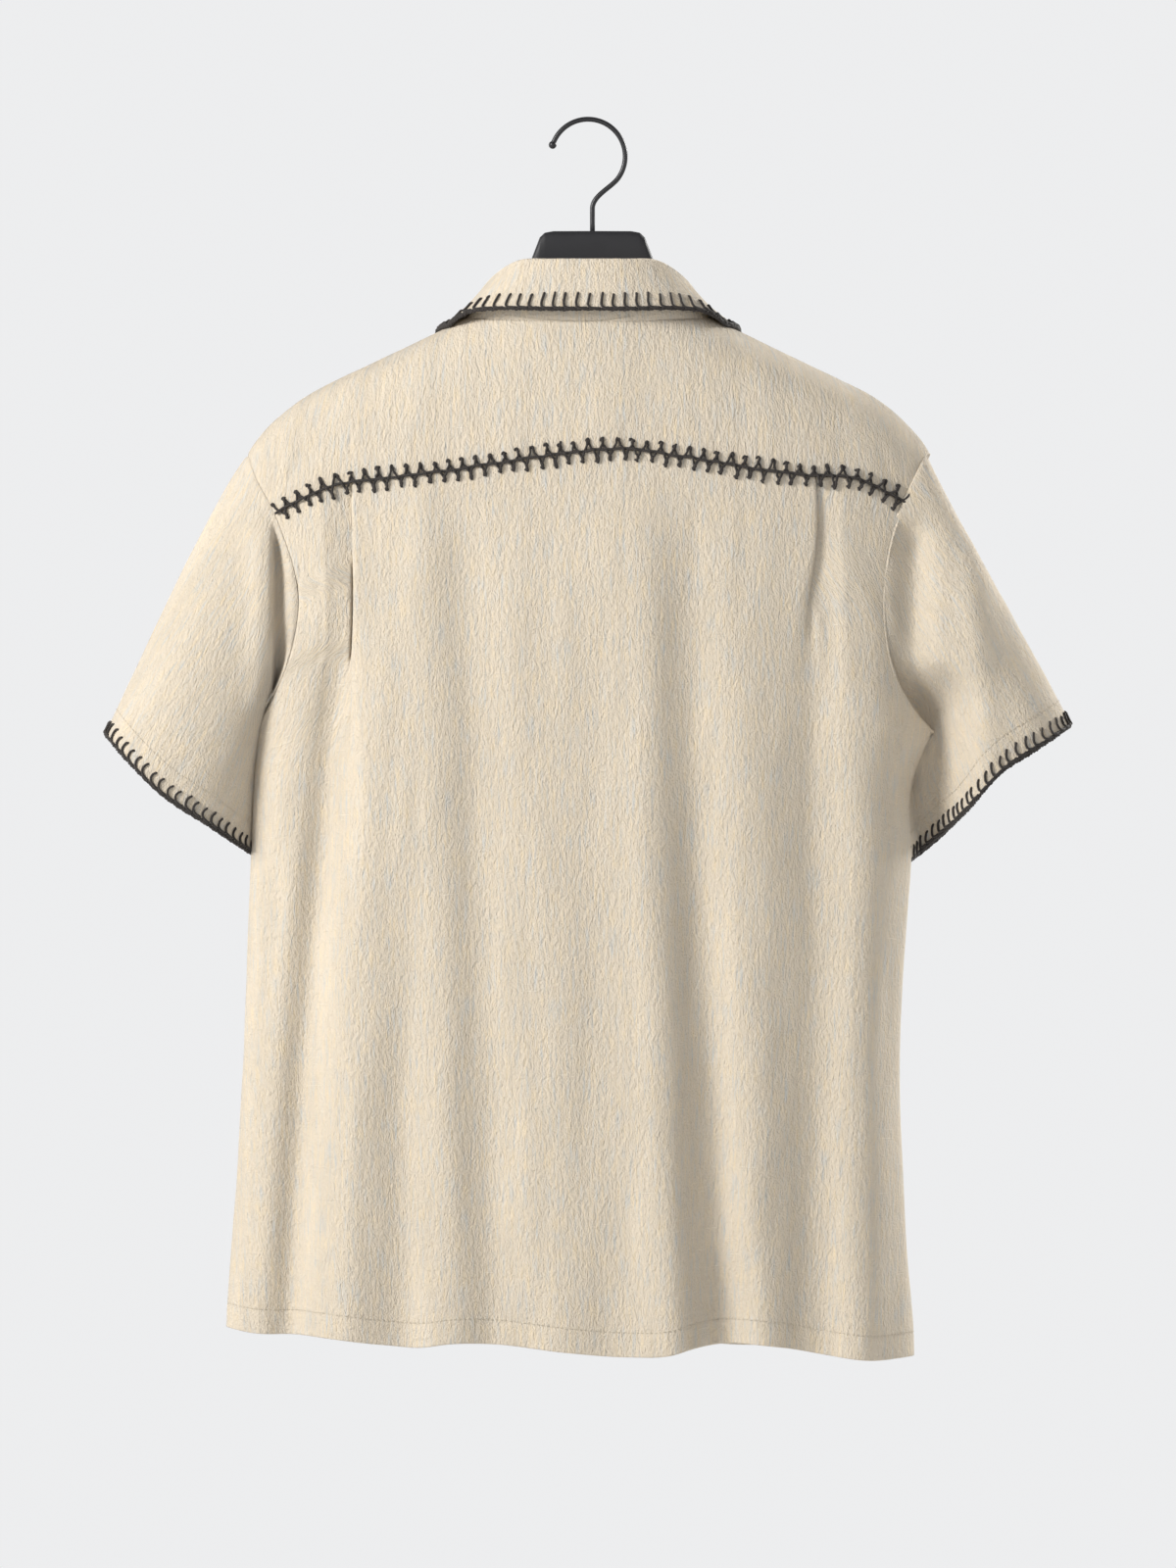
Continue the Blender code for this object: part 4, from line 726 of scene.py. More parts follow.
def lapel_points(side, r, inner_x, inner_z, shares):
    """The flap on every row: above the break it runs evenly between a few folded stations."""
    stations_z = np.array(FRONT_INNER_ROWS)[:, None] * MM
    stations = flap(side, roll_x(stations_z), stations_z, shares)
    upper = through_rows(stations, r[:, 0], LAPEL_SLACK)
    lower = flap(side, inner_x, inner_z, shares)
    return np.where(r[..., None] <= FRONT_UPPER_ROWS, upper, lower)


def row_share(r, upper, lower):
    above = ARMPIT_SHARE * np.sin(math.pi / 2 * np.minimum(r / upper, 1.0))
    below = mix(ARMPIT_SHARE, 1.0, np.maximum((r - upper) / lower, 0.0) ** 1.15)
    return np.where(r <= upper, above, below)


def front_points(side, r, c, flap_shares):
    """Points of a front: r down the rows, c from the side to the roll line, then the flap."""
    r = r[:, None]
    v = row_share(r, FRONT_UPPER_ROWS, FRONT_LOWER_ROWS)
    edge_x, edge_z = front_edge(side, v)
    arm_x = float(front_top_x(side, np.zeros(1))[0])
    arm_top = float(front_top_z(side, np.array(arm_x)))
    upper_z = np.interp(r, np.arange(FRONT_UPPER_ROWS + 1), FRONT_INNER_ROWS) * MM
    t = np.maximum((r - FRONT_UPPER_ROWS) / FRONT_LOWER_ROWS, 0.0)
    lower_z = mix(FRONT_INNER_ROWS[-1] * MM, front_hem_z(side, np.zeros(1)), t)
    inner_z = np.where(r <= FRONT_UPPER_ROWS, upper_z, lower_z)
    inner_x = roll_x(inner_z)
    at_edge = mix(arm_top, front_hem_z(side, edge_x), v)
    at_inner = mix(GORGE[1], front_hem_z(side, inner_x), v)
    count = SHOULDER_COLUMNS + GORGE_COLUMNS
    placket = PLACKET_HALF / (edge_x - inner_x)
    top_share = (front_top_x(side, c) - GORGE[0]) / (arm_x - GORGE[0])
    back = np.clip(1 - c / (count - 1), 0.0, 1.0)
    low_share = mix(placket, 1.0, np.sin(math.pi / 2 * back) ** 0.8)
    low_share = low_share * np.clip(count - c, 0.0, 1.0)
    share = mix(top_share[None, :], low_share, ease(v / ARMPIT_SHARE))
    x = mix(inner_x, edge_x, share)
    z = mix(front_top_z(side, mix(GORGE[0], arm_x, share)), front_hem_z(side, x), v)
    z = z + (edge_z - at_edge) * share ** 4 + (inner_z - at_inner) * (1.0 - share) ** 3
    x = np.minimum(x, width_of(side, z))
    y = body_y(side * x, z, -1.0) - layer_of(side, x)
    panel = np.stack([side * x, y, z], axis=-1)
    lapel = lapel_points(side, r, inner_x, inner_z, flap_shares[None, :])
    return np.concatenate([panel, lapel], axis=1)


def armhole_loop(side):
    """Fine points of the armhole in order: armpit, up the back, over the yoke, down the front."""
    v = row_share(np.linspace(7.0, 0.0, 56)[:-1], 7, FRONT_LOWER_ROWS)
    x, z = back_edge(side, v)
    back = np.stack([side * x, body_y(side * x, z, 1.0), z], axis=-1)
    yoke = yoke_points(side, np.ones(48), np.linspace(1.0, 0.0, 48))
    r = np.linspace(0.0, FRONT_UPPER_ROWS, 58)[1:-1]
    v = row_share(r, FRONT_UPPER_ROWS, FRONT_LOWER_ROWS)
    x, z = front_edge(side, v)
    front = np.stack([side * x, body_y(side * x, z, -1.0), z], axis=-1)
    return np.concatenate([back, yoke, front], axis=0)


def lengths(points, axis):
    """Distances run along one axis of a grid or a path."""
    steps = np.linalg.norm(np.diff(points, axis=axis), axis=-1)
    start = np.zeros_like(np.take(steps, [0], axis=axis))
    return np.concatenate([start, np.cumsum(steps, axis=axis)], axis=axis)


def along_path(want, run, points):
    """Points at the wanted distances along a path."""
    return np.stack([np.interp(want, run, points[:, k]) for k in range(3)], axis=-1)


def even_loop(points, count):
    """A closed loop resampled at even steps."""
    closed = np.concatenate([points, points[:1]])
    run = lengths(closed, 0)
    return along_path(np.linspace(0.0, run[-1], count + 1)[:-1], run, closed)


def surface_normals(side, points):
    x, y, z = points[:, 0], points[:, 1], points[:, 2]
    face = np.where(y > 0, 1.0, -1.0)
    step = 1.0 * MM
    dx = (body_y(x + step, z, face) - body_y(x - step, z, face)) / (2 * step)
    dz = (body_y(x, z + step, face) - body_y(x, z - step, face)) / (2 * step)
    normal = unit(np.stack([-dx * face, face, -dz * face], axis=-1))
    at_ridge = np.where(z[:, None] > UPPER_ARMHOLE_Z, SHOULDER_NORMAL, SIDE_NORMAL)
    at_ridge = at_ridge * np.array([side, 1.0, 1.0])
    near = ease(1.0 - np.abs(y) / (4.0 * MM))[:, None]
    return unit(mix(normal, at_ridge, near))


def around_share(points):
    top = points[:, 2].max()
    lift = np.clip((points[:, 2] - ARMPIT_Z) / (top - ARMPIT_Z), 0.0, 1.0)
    share = np.arccos(1.0 - 2.0 * lift) / (2.0 * math.pi)
    return np.where(points[:, 1] >= 0, share, 1.0 - share)


def cuff_points(side, around):
    outer_x, outer_z, inner_x, inner_z, half_depth = CUFF_LEFT if side > 0 else CUFF_RIGHT
    bow = smooth_table(CUFF_BOW_LEFT if side > 0 else CUFF_BOW_RIGHT, 1, 1.0)
    c = -np.cos(2 * math.pi * around)
    s = np.sin(2 * math.pi * around)
    share = (1.0 + np.copysign(np.abs(c) ** 0.9, c)) / 2.0
    depth = np.copysign(np.abs(s) ** 0.85, s)
    x = mix(inner_x, outer_x, share)
    drop = CUFF_FRONT_DROP * np.maximum(-s, 0.0)
    z = mix(inner_z, outer_z, share) + bow(share) - drop
    return np.stack([side * x, half_depth * depth, z], axis=-1) * MM


def soft_fold(fold, x):
    place, half, height = fold
    return height * np.exp(-((x / MM - place) / half) ** 2)


def sleeve_points(side, starts, t):
    """Rows t from the armhole (0) to the cuff (1), columns round the sleeve."""
    tangent = unit(np.roll(starts, -1, axis=0) - np.roll(starts, 1, axis=0))
    leave = unit(np.cross(tangent, surface_normals(side, starts)) * -side)
    for _ in range(6):
        leave = unit(leave + 0.5 * (np.roll(leave, 1, axis=0) + np.roll(leave, -1, axis=0)))
    around = around_share(starts)
    end = cuff_points(side, around)
    top_share = np.sin(math.pi * around) ** 2
    under = (1.0 - top_share) ** 3
    start_pull = mix(*START_PULL, top_share ** 1.3)[None, :, None]
    end_pull = mix(*END_PULL, top_share)[None, :, None]
    lean = mix(*CUFF_LEAN, (1.0 - np.cos(2 * math.pi * around)) / 2.0)
    direction = unit(np.stack([side * lean, lean * 0.0, lean * 0.0 - 1.0], axis=-1))
    first = starts + leave * (SEAM + 1.2 * MM * under)[:, None]
    t = t[:, None, None]
    points = hermite(t, first, end, leave * start_pull, direction * end_pull)
    down = t[..., 0]
    points[..., 0] += side * UNDERARM_BOW * under[None, :] * np.sqrt(4.0 * down * (1.0 - down))
    points[..., 0] -= side * UNDERARM_TUCK[side] * under[None, :] * ease(down * 1.3)
    points[..., 1] -= UNDERARM_FRONT * under[None, :] * ease(down * 2.5)
    x, y, z = points[..., 0], points[..., 1], points[..., 2]
    window = ease((SLEEVE_FOLD_TOP_Z - z) / (30.0 * MM))
    window = window * ease((z - SLEEVE_FOLD_LOW_Z) / (35.0 * MM))
    if side > 0:
        drop = ease((LEFT_VALLEY_EDGE - x / MM) / LEFT_VALLEY_DROP)
        seam = LEFT_VALLEY_EDGE - LEFT_VALLEY_DROP - LEFT_VALLEY_RISE
        rise = ease((x / MM - seam) / LEFT_VALLEY_RISE)
        folds = (soft_fold(LEFT_RIDGE, x) - LEFT_VALLEY_DEEP * drop * rise) * window
    else:
        folds = soft_fold(RIGHT_VALLEY, x) * window
        folds = folds + soft_fold(RIGHT_RIDGE, x) * ease((RIGHT_RIDGE_TOP_Z - z) / (60.0 * MM))
        low = ease((RIGHT_LOW_FROM - z) / RIGHT_LOW_FADE)
        folds = folds + soft_fold(RIGHT_LOW_VALLEY, x) * low
    inside = ease(t[..., 0] / 0.12) * ease(y / (15.0 * MM))
    points[..., 1] += folds * MM * inside
    return points


def outside_share(p):
    across = np.abs(p[..., 0]) / width_of(p[..., 0], p[..., 2])
    return across ** SECTION_POWER + (p[..., 1] / DEPTH_OF(p[..., 2])) ** 2 - 1.0


def clear_of_body(points, distance):
    points = np.array(points, dtype=float)
    step = 0.2 * MM
    for _ in range(4):
        here = outside_share(points)
        slope = np.stack([
            (outside_share(points + axis) - outside_share(points - axis)) / (2 * step)
            for axis in np.eye(3) * step
        ], axis=-1)
        size = np.linalg.norm(slope, axis=-1)
        short = np.maximum(distance - here / size, 0.0)
        points = points + slope / size[..., None] * short[..., None]
    return points


def neckline(side, s):
    """The neck seam from the centre back (0) to the gorge (1)."""
    x = NECK_HALF * np.sin(math.pi / 2 * np.minimum(s / COLLAR_SIDE_PLACE, 1.0))
    z = neck_z(x)
    lift = COLLAR_SEAM_GAP + (COLLAR_SKIN + SEAM) * (x / NECK_HALF) ** 4
    back = np.stack([side * x, body_y(side * x, z, 1.0), z + lift], axis=-1)
    t = np.clip((s - COLLAR_SIDE_PLACE) / (1.0 - COLLAR_SIDE_PLACE), 0.0, 1.0)
    x, z = mix(NECK_HALF, GORGE[0], t * t), mix(NECK_SIDE_Z, GORGE[1], t * t)
    lift = COLLAR_FRONT_GAP + COLLAR_SKIN + SEAM
    inward = lift * mix(0.6, 2.2, t)
    front = np.stack([side * (x - inward), body_y(side * x, z, -1.0), z + lift], axis=-1)
    return np.where((s <= COLLAR_SIDE_PLACE)[:, None], back, front)


COLLAR_READERS = [smooth_table(COLLAR, column, 1.0) for column in range(1, 7)]


def collar_points(side, s, stand, arc, leaf):
    """Rows along the collar, columns up the stand, round the fold and down the leaf."""
    values = [read(s) * MM for read in COLLAR_READERS]
    seam = neckline(side, s)
    fold = np.stack([side * values[0], values[1], values[2]], axis=-1)
    edge = np.stack([side * values[3], values[4], values[5]], axis=-1)
    edge = clear_of_body(edge, COLLAR_CLEARANCE + COLLAR_EDGE_LIFT)
    out = edge - seam
    out[:, 2] = 0.0
    out = unit(out)
    up = np.array([0.0, 0.0, 1.0])
    seam = seam - out * COLLAR_TUCK - up * COLLAR_TUCK_DROP
    radius = COLLAR_FOLD_RADIUS
    centre = fold - up * radius
    inner, outer = centre - out * radius, centre + out * radius
    columns = [mix(seam, inner, t) for t in np.linspace(0.0, 1.0, stand)[:-1]]
    for a in np.linspace(math.pi, 0.0, arc):
        columns.append(centre + out * radius * math.cos(a) + up * radius * math.sin(a))
    for t in crowd(leaf, pull=0.4)[1:]:
        columns.append(clear_of_body(mix(outer, edge, t), COLLAR_CLEARANCE))
    return np.stack(columns, axis=1)


def normals_of(points):
    """Unit normals of a grid from its own neighbours."""
    return unit(np.cross(np.gradient(points, axis=1), np.gradient(points, axis=0)))


def cloth_uv(points, middle):
    """Places in the cloth in metres: across from a middle column, and down it."""
    across = lengths(points, 1)
    across = across - across[:, middle:middle + 1]
    down = np.repeat(lengths(points, 0)[:, middle:middle + 1], points.shape[1], axis=1)
    return np.stack([across, -down], axis=-1)


def new_piece(name, vertices, faces, material, uv=None):
    """A smooth mesh object, with its places in the cloth where it has them."""
    mesh = bpy.data.meshes.new(name)
    mesh.from_pydata(vertices, [], faces)
    if uv is not None:
        layer = mesh.uv_layers.new(name="cloth")
        layer.data.foreach_set("uv", uv.reshape(-1).astype(np.float32))
    mesh.materials.append(material)
    mesh.shade_smooth()
    piece = bpy.data.objects.new(name, mesh)
    bpy.context.scene.collection.objects.link(piece)
    return piece


def grid_mesh(name, points, uv, material, thickness=CLOTH, closed=False):
    """A thin cloth shell on a grid of points."""
    rows, columns = points.shape[:2]
    index = np.arange(rows * columns).reshape(rows, columns)
    if closed:
        index = np.concatenate([index, index[:, :1]], axis=1)
    quads = np.stack([index[:-1, :-1], index[:-1, 1:], index[1:, 1:], index[1:, :-1]], axis=-1)
    quads = quads.reshape(-1, 4)
    corner = uv.reshape(-1, 2)[quads.reshape(-1)]
    if closed:
        corner = corner.reshape(-1, 4, 2)
        width = uv[:, -1, 0] * 2 - uv[:, -2, 0]
        last = np.arange(len(quads)) % columns == columns - 1
        row = np.arange(len(quads)) // columns
        corner[last, 1, 0] = width[row[last]]
        corner[last, 2, 0] = width[np.minimum(row[last] + 1, rows - 1)]
    piece = new_piece(name, points.reshape(-1, 3).tolist(), quads.tolist(), material, corner)
    solid = piece.modifiers.new("thickness", "SOLIDIFY")
    solid.thickness = thickness
    solid.offset = 0.0
    solid.use_quality_normals = True
    return piece


def turn_up(points, normals, depth, rows):
    """Rows that carry the cloth round its lower edge and up on the inside."""
    edge, normal = points[-1], -normals[-1]
    down = unit(points[-1] - points[-4])
    extra = []
    for a in (0.6, 1.3, 2.1, 2.8):
        turn = normal * TURN_RADIUS * (1 - math.cos(a)) + down * TURN_RADIUS * math.sin(a)
        extra.append(edge + turn)
    up, up_normals = points[::-1], normals[::-1]
    run = lengths(up, 0)
    for want in depth * np.linspace(0.05, 1.0, rows):
        place, lean = (
            np.stack([along_path(want, run[:, c], grid[:, c]) for c in range(run.shape[1])])
            for grid in (up, up_normals)
        )
        extra.append(place - unit(lean) * 2 * TURN_RADIUS)
    return np.concatenate([points, np.stack(extra)], axis=0)


def hem_relief(points, turn):
    """Height along the lower edge: a flat band below a slightly pulled-in stitch line."""
    up = lengths(points[::-1], 0)[::-1]
    groove = np.exp(-((up - turn) / EDGE_WIDTH) ** 2)
    band = ease((turn - up) / (1.5 * MM))
    pucker = wave_noise(lengths(points, 1), up * 0.0, 7.0 * MM, 1.0, 5)
    pucker = pucker * np.exp(-((up - turn) / (5.0 * MM)) ** 2)
    return (HEM_RELIEF[0] * groove + HEM_RELIEF[1] * band + HEM_RELIEF[2] * pucker) * MM


def edge_roll(points, ends=True):
    """Edges at the seams turn slightly inward, as sewn edges do."""
    roll = np.exp(-(lengths(points, 0) / EDGE_WIDTH) ** 2)
    if ends:
        across = lengths(points, 1)
        left = np.exp(-(across / EDGE_WIDTH) ** 2)
        right = np.exp(-((across[:, -1:] - across) / EDGE_WIDTH) ** 2)
        roll = roll + left + right
    return -EDGE_ROLL * np.minimum(roll, 1.0)


def unevenness(points, seed, amount=CLOTH_UNEVEN):
    """Slow and quick unevenness of hanging cloth."""
    x, z = points[..., 0], points[..., 2]
    slow = wave_noise(x, z, 34.0 * MM, 90.0 * MM, seed)
    quick = wave_noise(x + 0.2 * z, z, 12.0 * MM, 40.0 * MM, seed + 1)
    return (slow * 0.9 + quick * 0.45) * amount * MM


def node_tools(name):
    material = bpy.data.materials.new(name)
    material.use_nodes = True
    nodes, links = material.node_tree.nodes, material.node_tree.links
    shader = nodes["Principled BSDF"]

    def add(kind, **settings):
        node = nodes.new(kind)
        for key, value in settings.items():
            setattr(node, key, value)
        return node

    def math_node(operation, a, b=None, clamp=False):
        node = add("ShaderNodeMath", operation=operation, use_clamp=clamp)
        for socket, value in zip(node.inputs, (a, b)):
            if value is None:
                continue
            if isinstance(value, (int, float)):
                socket.default_value = value
            else:
                links.new(value, socket)
        return node.outputs[0]

    return material, shader, add, math_node, links


def fill(node, values):
    """Set a node's input sockets by name."""
    for socket, value in values.items():
        node.inputs[socket].default_value = value


def stretched_noise(add, links, vector, scale, detail, rough, offset=(0.0, 0.0, 0.0)):
    """Noise with a scale of its own along each axis."""
    mapping = add("ShaderNodeMapping")
    fill(mapping, {"Scale": scale, "Location": offset})
    links.new(vector, mapping.inputs["Vector"])
    noise = add("ShaderNodeTexNoise")
    fill(noise, {"Scale": 1.0, "Detail": detail, "Roughness": rough})
    links.new(mapping.outputs[0], noise.inputs["Vector"])
    return noise.outputs["Fac"]


def map_range(node, links, value, limits):
    """Carry a value from one range to another: from low, from high, to low, to high."""
    fill(node, dict(zip(("From Min", "From Max", "To Min", "To Max"), limits)))
    links.new(value, node.inputs["Value"])
    return node.outputs[0]


def add_bump(add, links, shader, height, strength, distance):
    """Relief of a shader's surface from a height."""
    bump = add("ShaderNodeBump")
    fill(bump, {"Strength": strength, "Distance": distance})
    links.new(height, bump.inputs["Height"])
    links.new(bump.outputs[0], shader.inputs["Normal"])


def colour_mix(add, links, factor, a, b):
    node = add("ShaderNodeMix", data_type="RGBA")
    for socket, value in zip((node.inputs[0], node.inputs[6], node.inputs[7]), (factor, a, b)):
        if isinstance(value, tuple):
            socket.default_value = value
        else:
            links.new(value, socket)
    return node.outputs[2]


def make_fabric():
    """Crinkled oatmeal cotton: heather streaks, slub threads, plain weave, vertical crinkle."""
    material, shader, add, calc, links = node_tools("slub_cotton")
    uv = add("ShaderNodeUVMap", uv_map="cloth").outputs[0]
    wide = stretched_noise(add, links, uv, (60.0, 7.0, 1.0), 2.0, 0.5, (9.0, 2.0, 0.0))

    def streaks(scale, detail, rough, offset, threshold, contrast):
        noise = stretched_noise(add, links, uv, scale, detail, rough, offset)
        return calc("MULTIPLY", calc("SUBTRACT", noise, threshold), contrast, True)

    warm = streaks((520.0, 48.0, 1.0), 3.0, 0.6, (0.0, 0.0, 0.0), 0.5, 4.0)
    cool = streaks((460.0, 40.0, 1.0), 3.0, 0.6, (3.0, 7.0, 0.0), 0.52, 4.5)
    slub_across = streaks((38.0, 1250.0, 1.0), 2.0, 0.5, (1.0, 5.0, 0.0), 0.66, 14.0)
    slub_down = streaks((1250.0, 38.0, 1.0), 2.0, 0.5, (6.0, 1.0, 0.0), 0.67, 14.0)
    slub = calc("MAXIMUM", slub_across, slub_down)
    colour = FABRIC_BASE
    for share, strength, tint in ((warm, 0.95, FABRIC_YELLOW), (cool, 0.95, FABRIC_GREY),
                                  (slub, 0.8, FABRIC_PALE)):
        colour = colour_mix(add, links, calc("MULTIPLY", share, strength), colour, tint)
    shade = add("ShaderNodeMix", data_type="RGBA", blend_type="MULTIPLY")
    shade.inputs[0].default_value = 1.0
    links.new(colour, shade.inputs[6])
    tone = map_range(add("ShaderNodeMapRange"), links, wide, (0.3, 0.7, 0.93, 1.04))
    tone_colour = add("ShaderNodeCombineColor")
    for k in range(3):
        links.new(tone, tone_colour.inputs[k])
    links.new(tone_colour.outputs[0], shade.inputs[7])
    links.new(shade.outputs[2], shader.inputs["Base Color"])

    warp = stretched_noise(add, links, uv, (90.0, 60.0, 1.0), 1.0, 0.5, (4.0, 4.0, 0.0))
    bent = add("ShaderNodeVectorMath", operation="MULTIPLY_ADD")
    bent.inputs[1].default_value = (0.004, 0.004, 0.0)
    links.new(uv, bent.inputs[2])
    push = add("ShaderNodeCombineXYZ")
    links.new(warp, push.inputs[0])
    links.new(warp, push.inputs[1])
    links.new(push.outputs[0], bent.inputs[0])
    crinkle = stretched_noise(add, links, bent.outputs[0], CRINKLE, 2.0, 0.6)
    fine = stretched_noise(add, links, bent.outputs[0], FINE_CRINKLE, 1.0, 0.5, (2.0, 2.0, 0.0))
    split = add("ShaderNodeSeparateXYZ")
    links.new(uv, split.inputs[0])
    yarn = 2 * math.pi / YARN_PITCH
    weft = calc("SINE", calc("MULTIPLY", split.outputs[1], yarn))
    warp_yarn = calc("SINE", calc("MULTIPLY", split.outputs[0], yarn))
    weave = calc("MULTIPLY", calc("MULTIPLY", weft, warp_yarn), 0.5)
    height = crinkle
    for part, weight in ((fine, 0.5), (weave, 0.05), (slub, 0.12)):
        height = calc("ADD", height, calc("MULTIPLY", part, weight))
    add_bump(add, links, shader, height, 1.0, CRINKLE_DEPTH)
    fill(shader, {"Roughness": 0.92, "Specular IOR Level": 0.25, "Sheen Weight": 0.12,
                  "Sheen Roughness": 0.5})
    return material


def make_thread(name, dark, light, twist):
    """Twisted thread: the plies wind round it along its length, with painted shade darkening the
    grooves between them.
    """
    material, shader, add, calc, links = node_tools(name)
    uv = add("ShaderNodeUVMap", uv_map="cloth").outputs[0]
    split = add("ShaderNodeSeparateXYZ")
    links.new(uv, split.inputs[0])
    around = calc("MULTIPLY", split.outputs[0], 2 * math.pi * THREAD_PLIES)
    ply = calc("SINE", calc("ADD", around, calc("MULTIPLY", split.outputs[1], twist)))
    share = calc("MULTIPLY", calc("ADD", ply, 1.0), 0.5)
    fuzz = stretched_noise(add, links, uv, (4.0, 2600.0, 1.0), 2.0, 0.6)
    share = calc("MULTIPLY", share, calc("ADD", fuzz, 0.3), True)
    # Painted shade: the thread is darker in the grooves between its plies and lighter on the plies
    links.new(colour_mix(add, links, share, dark, light), shader.inputs["Base Color"])
    height = calc("ADD", share, calc("MULTIPLY", fuzz, 0.4))
    add_bump(add, links, shader, height, 0.9, 0.3 * MM)
    fill(shader, {"Roughness": 0.75, "Sheen Weight": 0.1})
    return material


def make_moulded(name, colour, rough, scale, distance, metallic=0.0):
    """Moulded or painted surface with a fine grain and faint wear in its gloss."""
    material, shader, add, calc, links = node_tools(name)
    place = add("ShaderNodeTexCoord").outputs["Object"]
    grain = stretched_noise(add, links, place, (scale,) * 3, 3.0, 0.6)
    broad = stretched_noise(add, links, place, (55.0,) * 3, 2.0, 0.5)
    lighter = tuple(min(c * 1.7 + 0.004, 1.0) for c in colour[:3]) + (1.0,)
    links.new(colour_mix(add, links, broad, colour, lighter), shader.inputs["Base Color"])
    links.new(calc("ADD", calc("MULTIPLY", broad, 0.16), rough - 0.08), shader.inputs["Roughness"])
    add_bump(add, links, shader, grain, 0.35, distance)
    fill(shader, {"Metallic": metallic})
    return material


FABRIC = make_fabric()
# Threads: colour in the grooves between plies (painted shade), colour on the plies, twist.  Others:
# colour, roughness, grain, its depth
THREAD = make_thread(
    "brown_thread", (0.006, 0.005, 0.005, 1.0), (0.045, 0.034, 0.028, 1.0), 5200.0)
TOPSTITCH = make_thread(
    "tonal_thread", (0.50, 0.43, 0.33, 1.0), (0.74, 0.66, 0.53, 1.0), 9000.0)
BUTTON = make_moulded("dark_button", (0.030, 0.016, 0.010, 1.0), 0.30, 900.0, 0.05 * MM)
HANGER = make_moulded("black_hanger", (0.007, 0.007, 0.009, 1.0), 0.6, 2200.0, 0.08 * MM)
WIRE = make_moulded("black_wire", (0.018, 0.018, 0.020, 1.0), 0.38, 3000.0, 0.04 * MM, 0.4)


def dress(piece, slot, *nodes):
    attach(piece, "root")
    if nodes:
        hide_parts(*nodes)
    return piece


def finish_cloth(name, points, creases, seed, middle, turn, outward, amount=CLOTH_UNEVEN):
    """Add creases, seam edges and the turned-up hem to a grid, and make its piece."""
    normals = normals_of(points) * outward
    relief = crease_height(creases, points[..., 0], points[..., 2])
    relief = relief + unevenness(points, seed, amount) + edge_roll(points)
    if turn:
        relief = relief + hem_relief(points, turn)
    outer = points + normals * relief[..., None]
    points = outer
    if turn:
        points = turn_up(outer, normals_of(outer) * outward, turn, TURN_ROWS)
    return grid_mesh(name, points, cloth_uv(points, middle), FABRIC), outer


def both_halves(half):
    """A grid from the right edge to the left one, and its middle column."""
    left, right = half(1), half(-1)
    return np.concatenate([right[:, :0:-1], left], axis=1), right.shape[1] - 1


def build_back():
    v = crowd(BACK_ROWS, pull=0.62)
    points, middle = both_halves(lambda side: back_half(side, v, BACK_MIDDLE, BACK_OUTER))
    piece, points = finish_cloth(
        "back_cloth", points, BACK_CREASES, BACK_SEED, middle, HEM_TURN, 1.0)
    dress(piece, "slub_cotton", "back_panel")
    return piece, points


def build_yoke():
    shoulder = crowd(YOKE_ROWS, pull=0.6)
    neck = np.linspace(-1.0, 0.0, YOKE_NECK)[:-1]
    places = np.concatenate([neck, shoulder])[None, :]
    points, middle = both_halves(lambda side: yoke_points(side, places, shoulder[:, None]))
    piece, points = finish_cloth(
        "yoke_cloth", points, YOKE_CREASES, YOKE_SEED, middle, 0.0, 1.0, amount=YOKE_UNEVEN)
    dress(piece, "slub_cotton", "back_yoke")
    return piece, points


def build_front(side, name):
    upper = np.linspace(0.0, FRONT_UPPER_ROWS, FRONT_UPPER)[:-1]
    r = np.concatenate([upper, FRONT_UPPER_ROWS + FRONT_LOWER_ROWS * crowd(FRONT_LOWER, pull=0.5)])
    shoulder = crowd(FRONT_SHOULDER, 0.0, SHOULDER_COLUMNS, pull=0.5)[:-1]
    last = SHOULDER_COLUMNS + GORGE_COLUMNS
    c = np.concatenate([shoulder, np.linspace(SHOULDER_COLUMNS, last, FRONT_GORGE)])
    shares = np.linspace(0.0, 1.0, FRONT_FLAP)[1:]
    points = front_points(side, r, c, shares)
    if side > 0:
        points = points[:, ::-1]
    middle = points.shape[1] // 2
    piece, points = finish_cloth(
        name + "_cloth", points, FRONT_CREASES, FRONT_SEED + side, middle, HEM_TURN, -1.0)
    dress(piece, "slub_cotton", name)
    return piece, points


def build_sleeve(side, name):
    starts = even_loop(armhole_loop(side), SLEEVE_ROUND)
    if side < 0:
        starts = starts[::-1]
    points = sleeve_points(side, starts, crowd(SLEEVE_ROWS, pull=0.62))
    normals = normals_of(points)
    relief = unevenness(points, SLEEVE_SEED + side) + edge_roll(points, ends=False)
    relief = relief + CUFF_RELIEF * hem_relief(points, CUFF_TURN)
    outer = points + normals * relief[..., None]
    points = turn_up(outer, normals_of(outer), CUFF_TURN, TURN_ROWS)
    uv = cloth_uv(points, SLEEVE_ROUND // 2)
    piece = grid_mesh(name + "_cloth", points, uv, FABRIC, closed=True)
    dress(piece, "slub_cotton", name)
    return piece, outer


def build_collar():
    s = crowd(COLLAR_ROWS, pull=0.3)
    left, right = (collar_points(side, s, *COLLAR_COLUMNS) for side in (1, -1))
    points = np.concatenate([right[:0:-1], left], axis=0)
    across = np.repeat(lengths(points, 0)[:, 20:21], points.shape[1], axis=1)
    uv = np.stack([across - across[len(across) // 2], -lengths(points, 1)], axis=-1)
    piece = grid_mesh("collar_cloth", points, uv, FABRIC, thickness=2 * COLLAR_SKIN)
    dress(piece, "slub_cotton", "collar")
    return piece, points


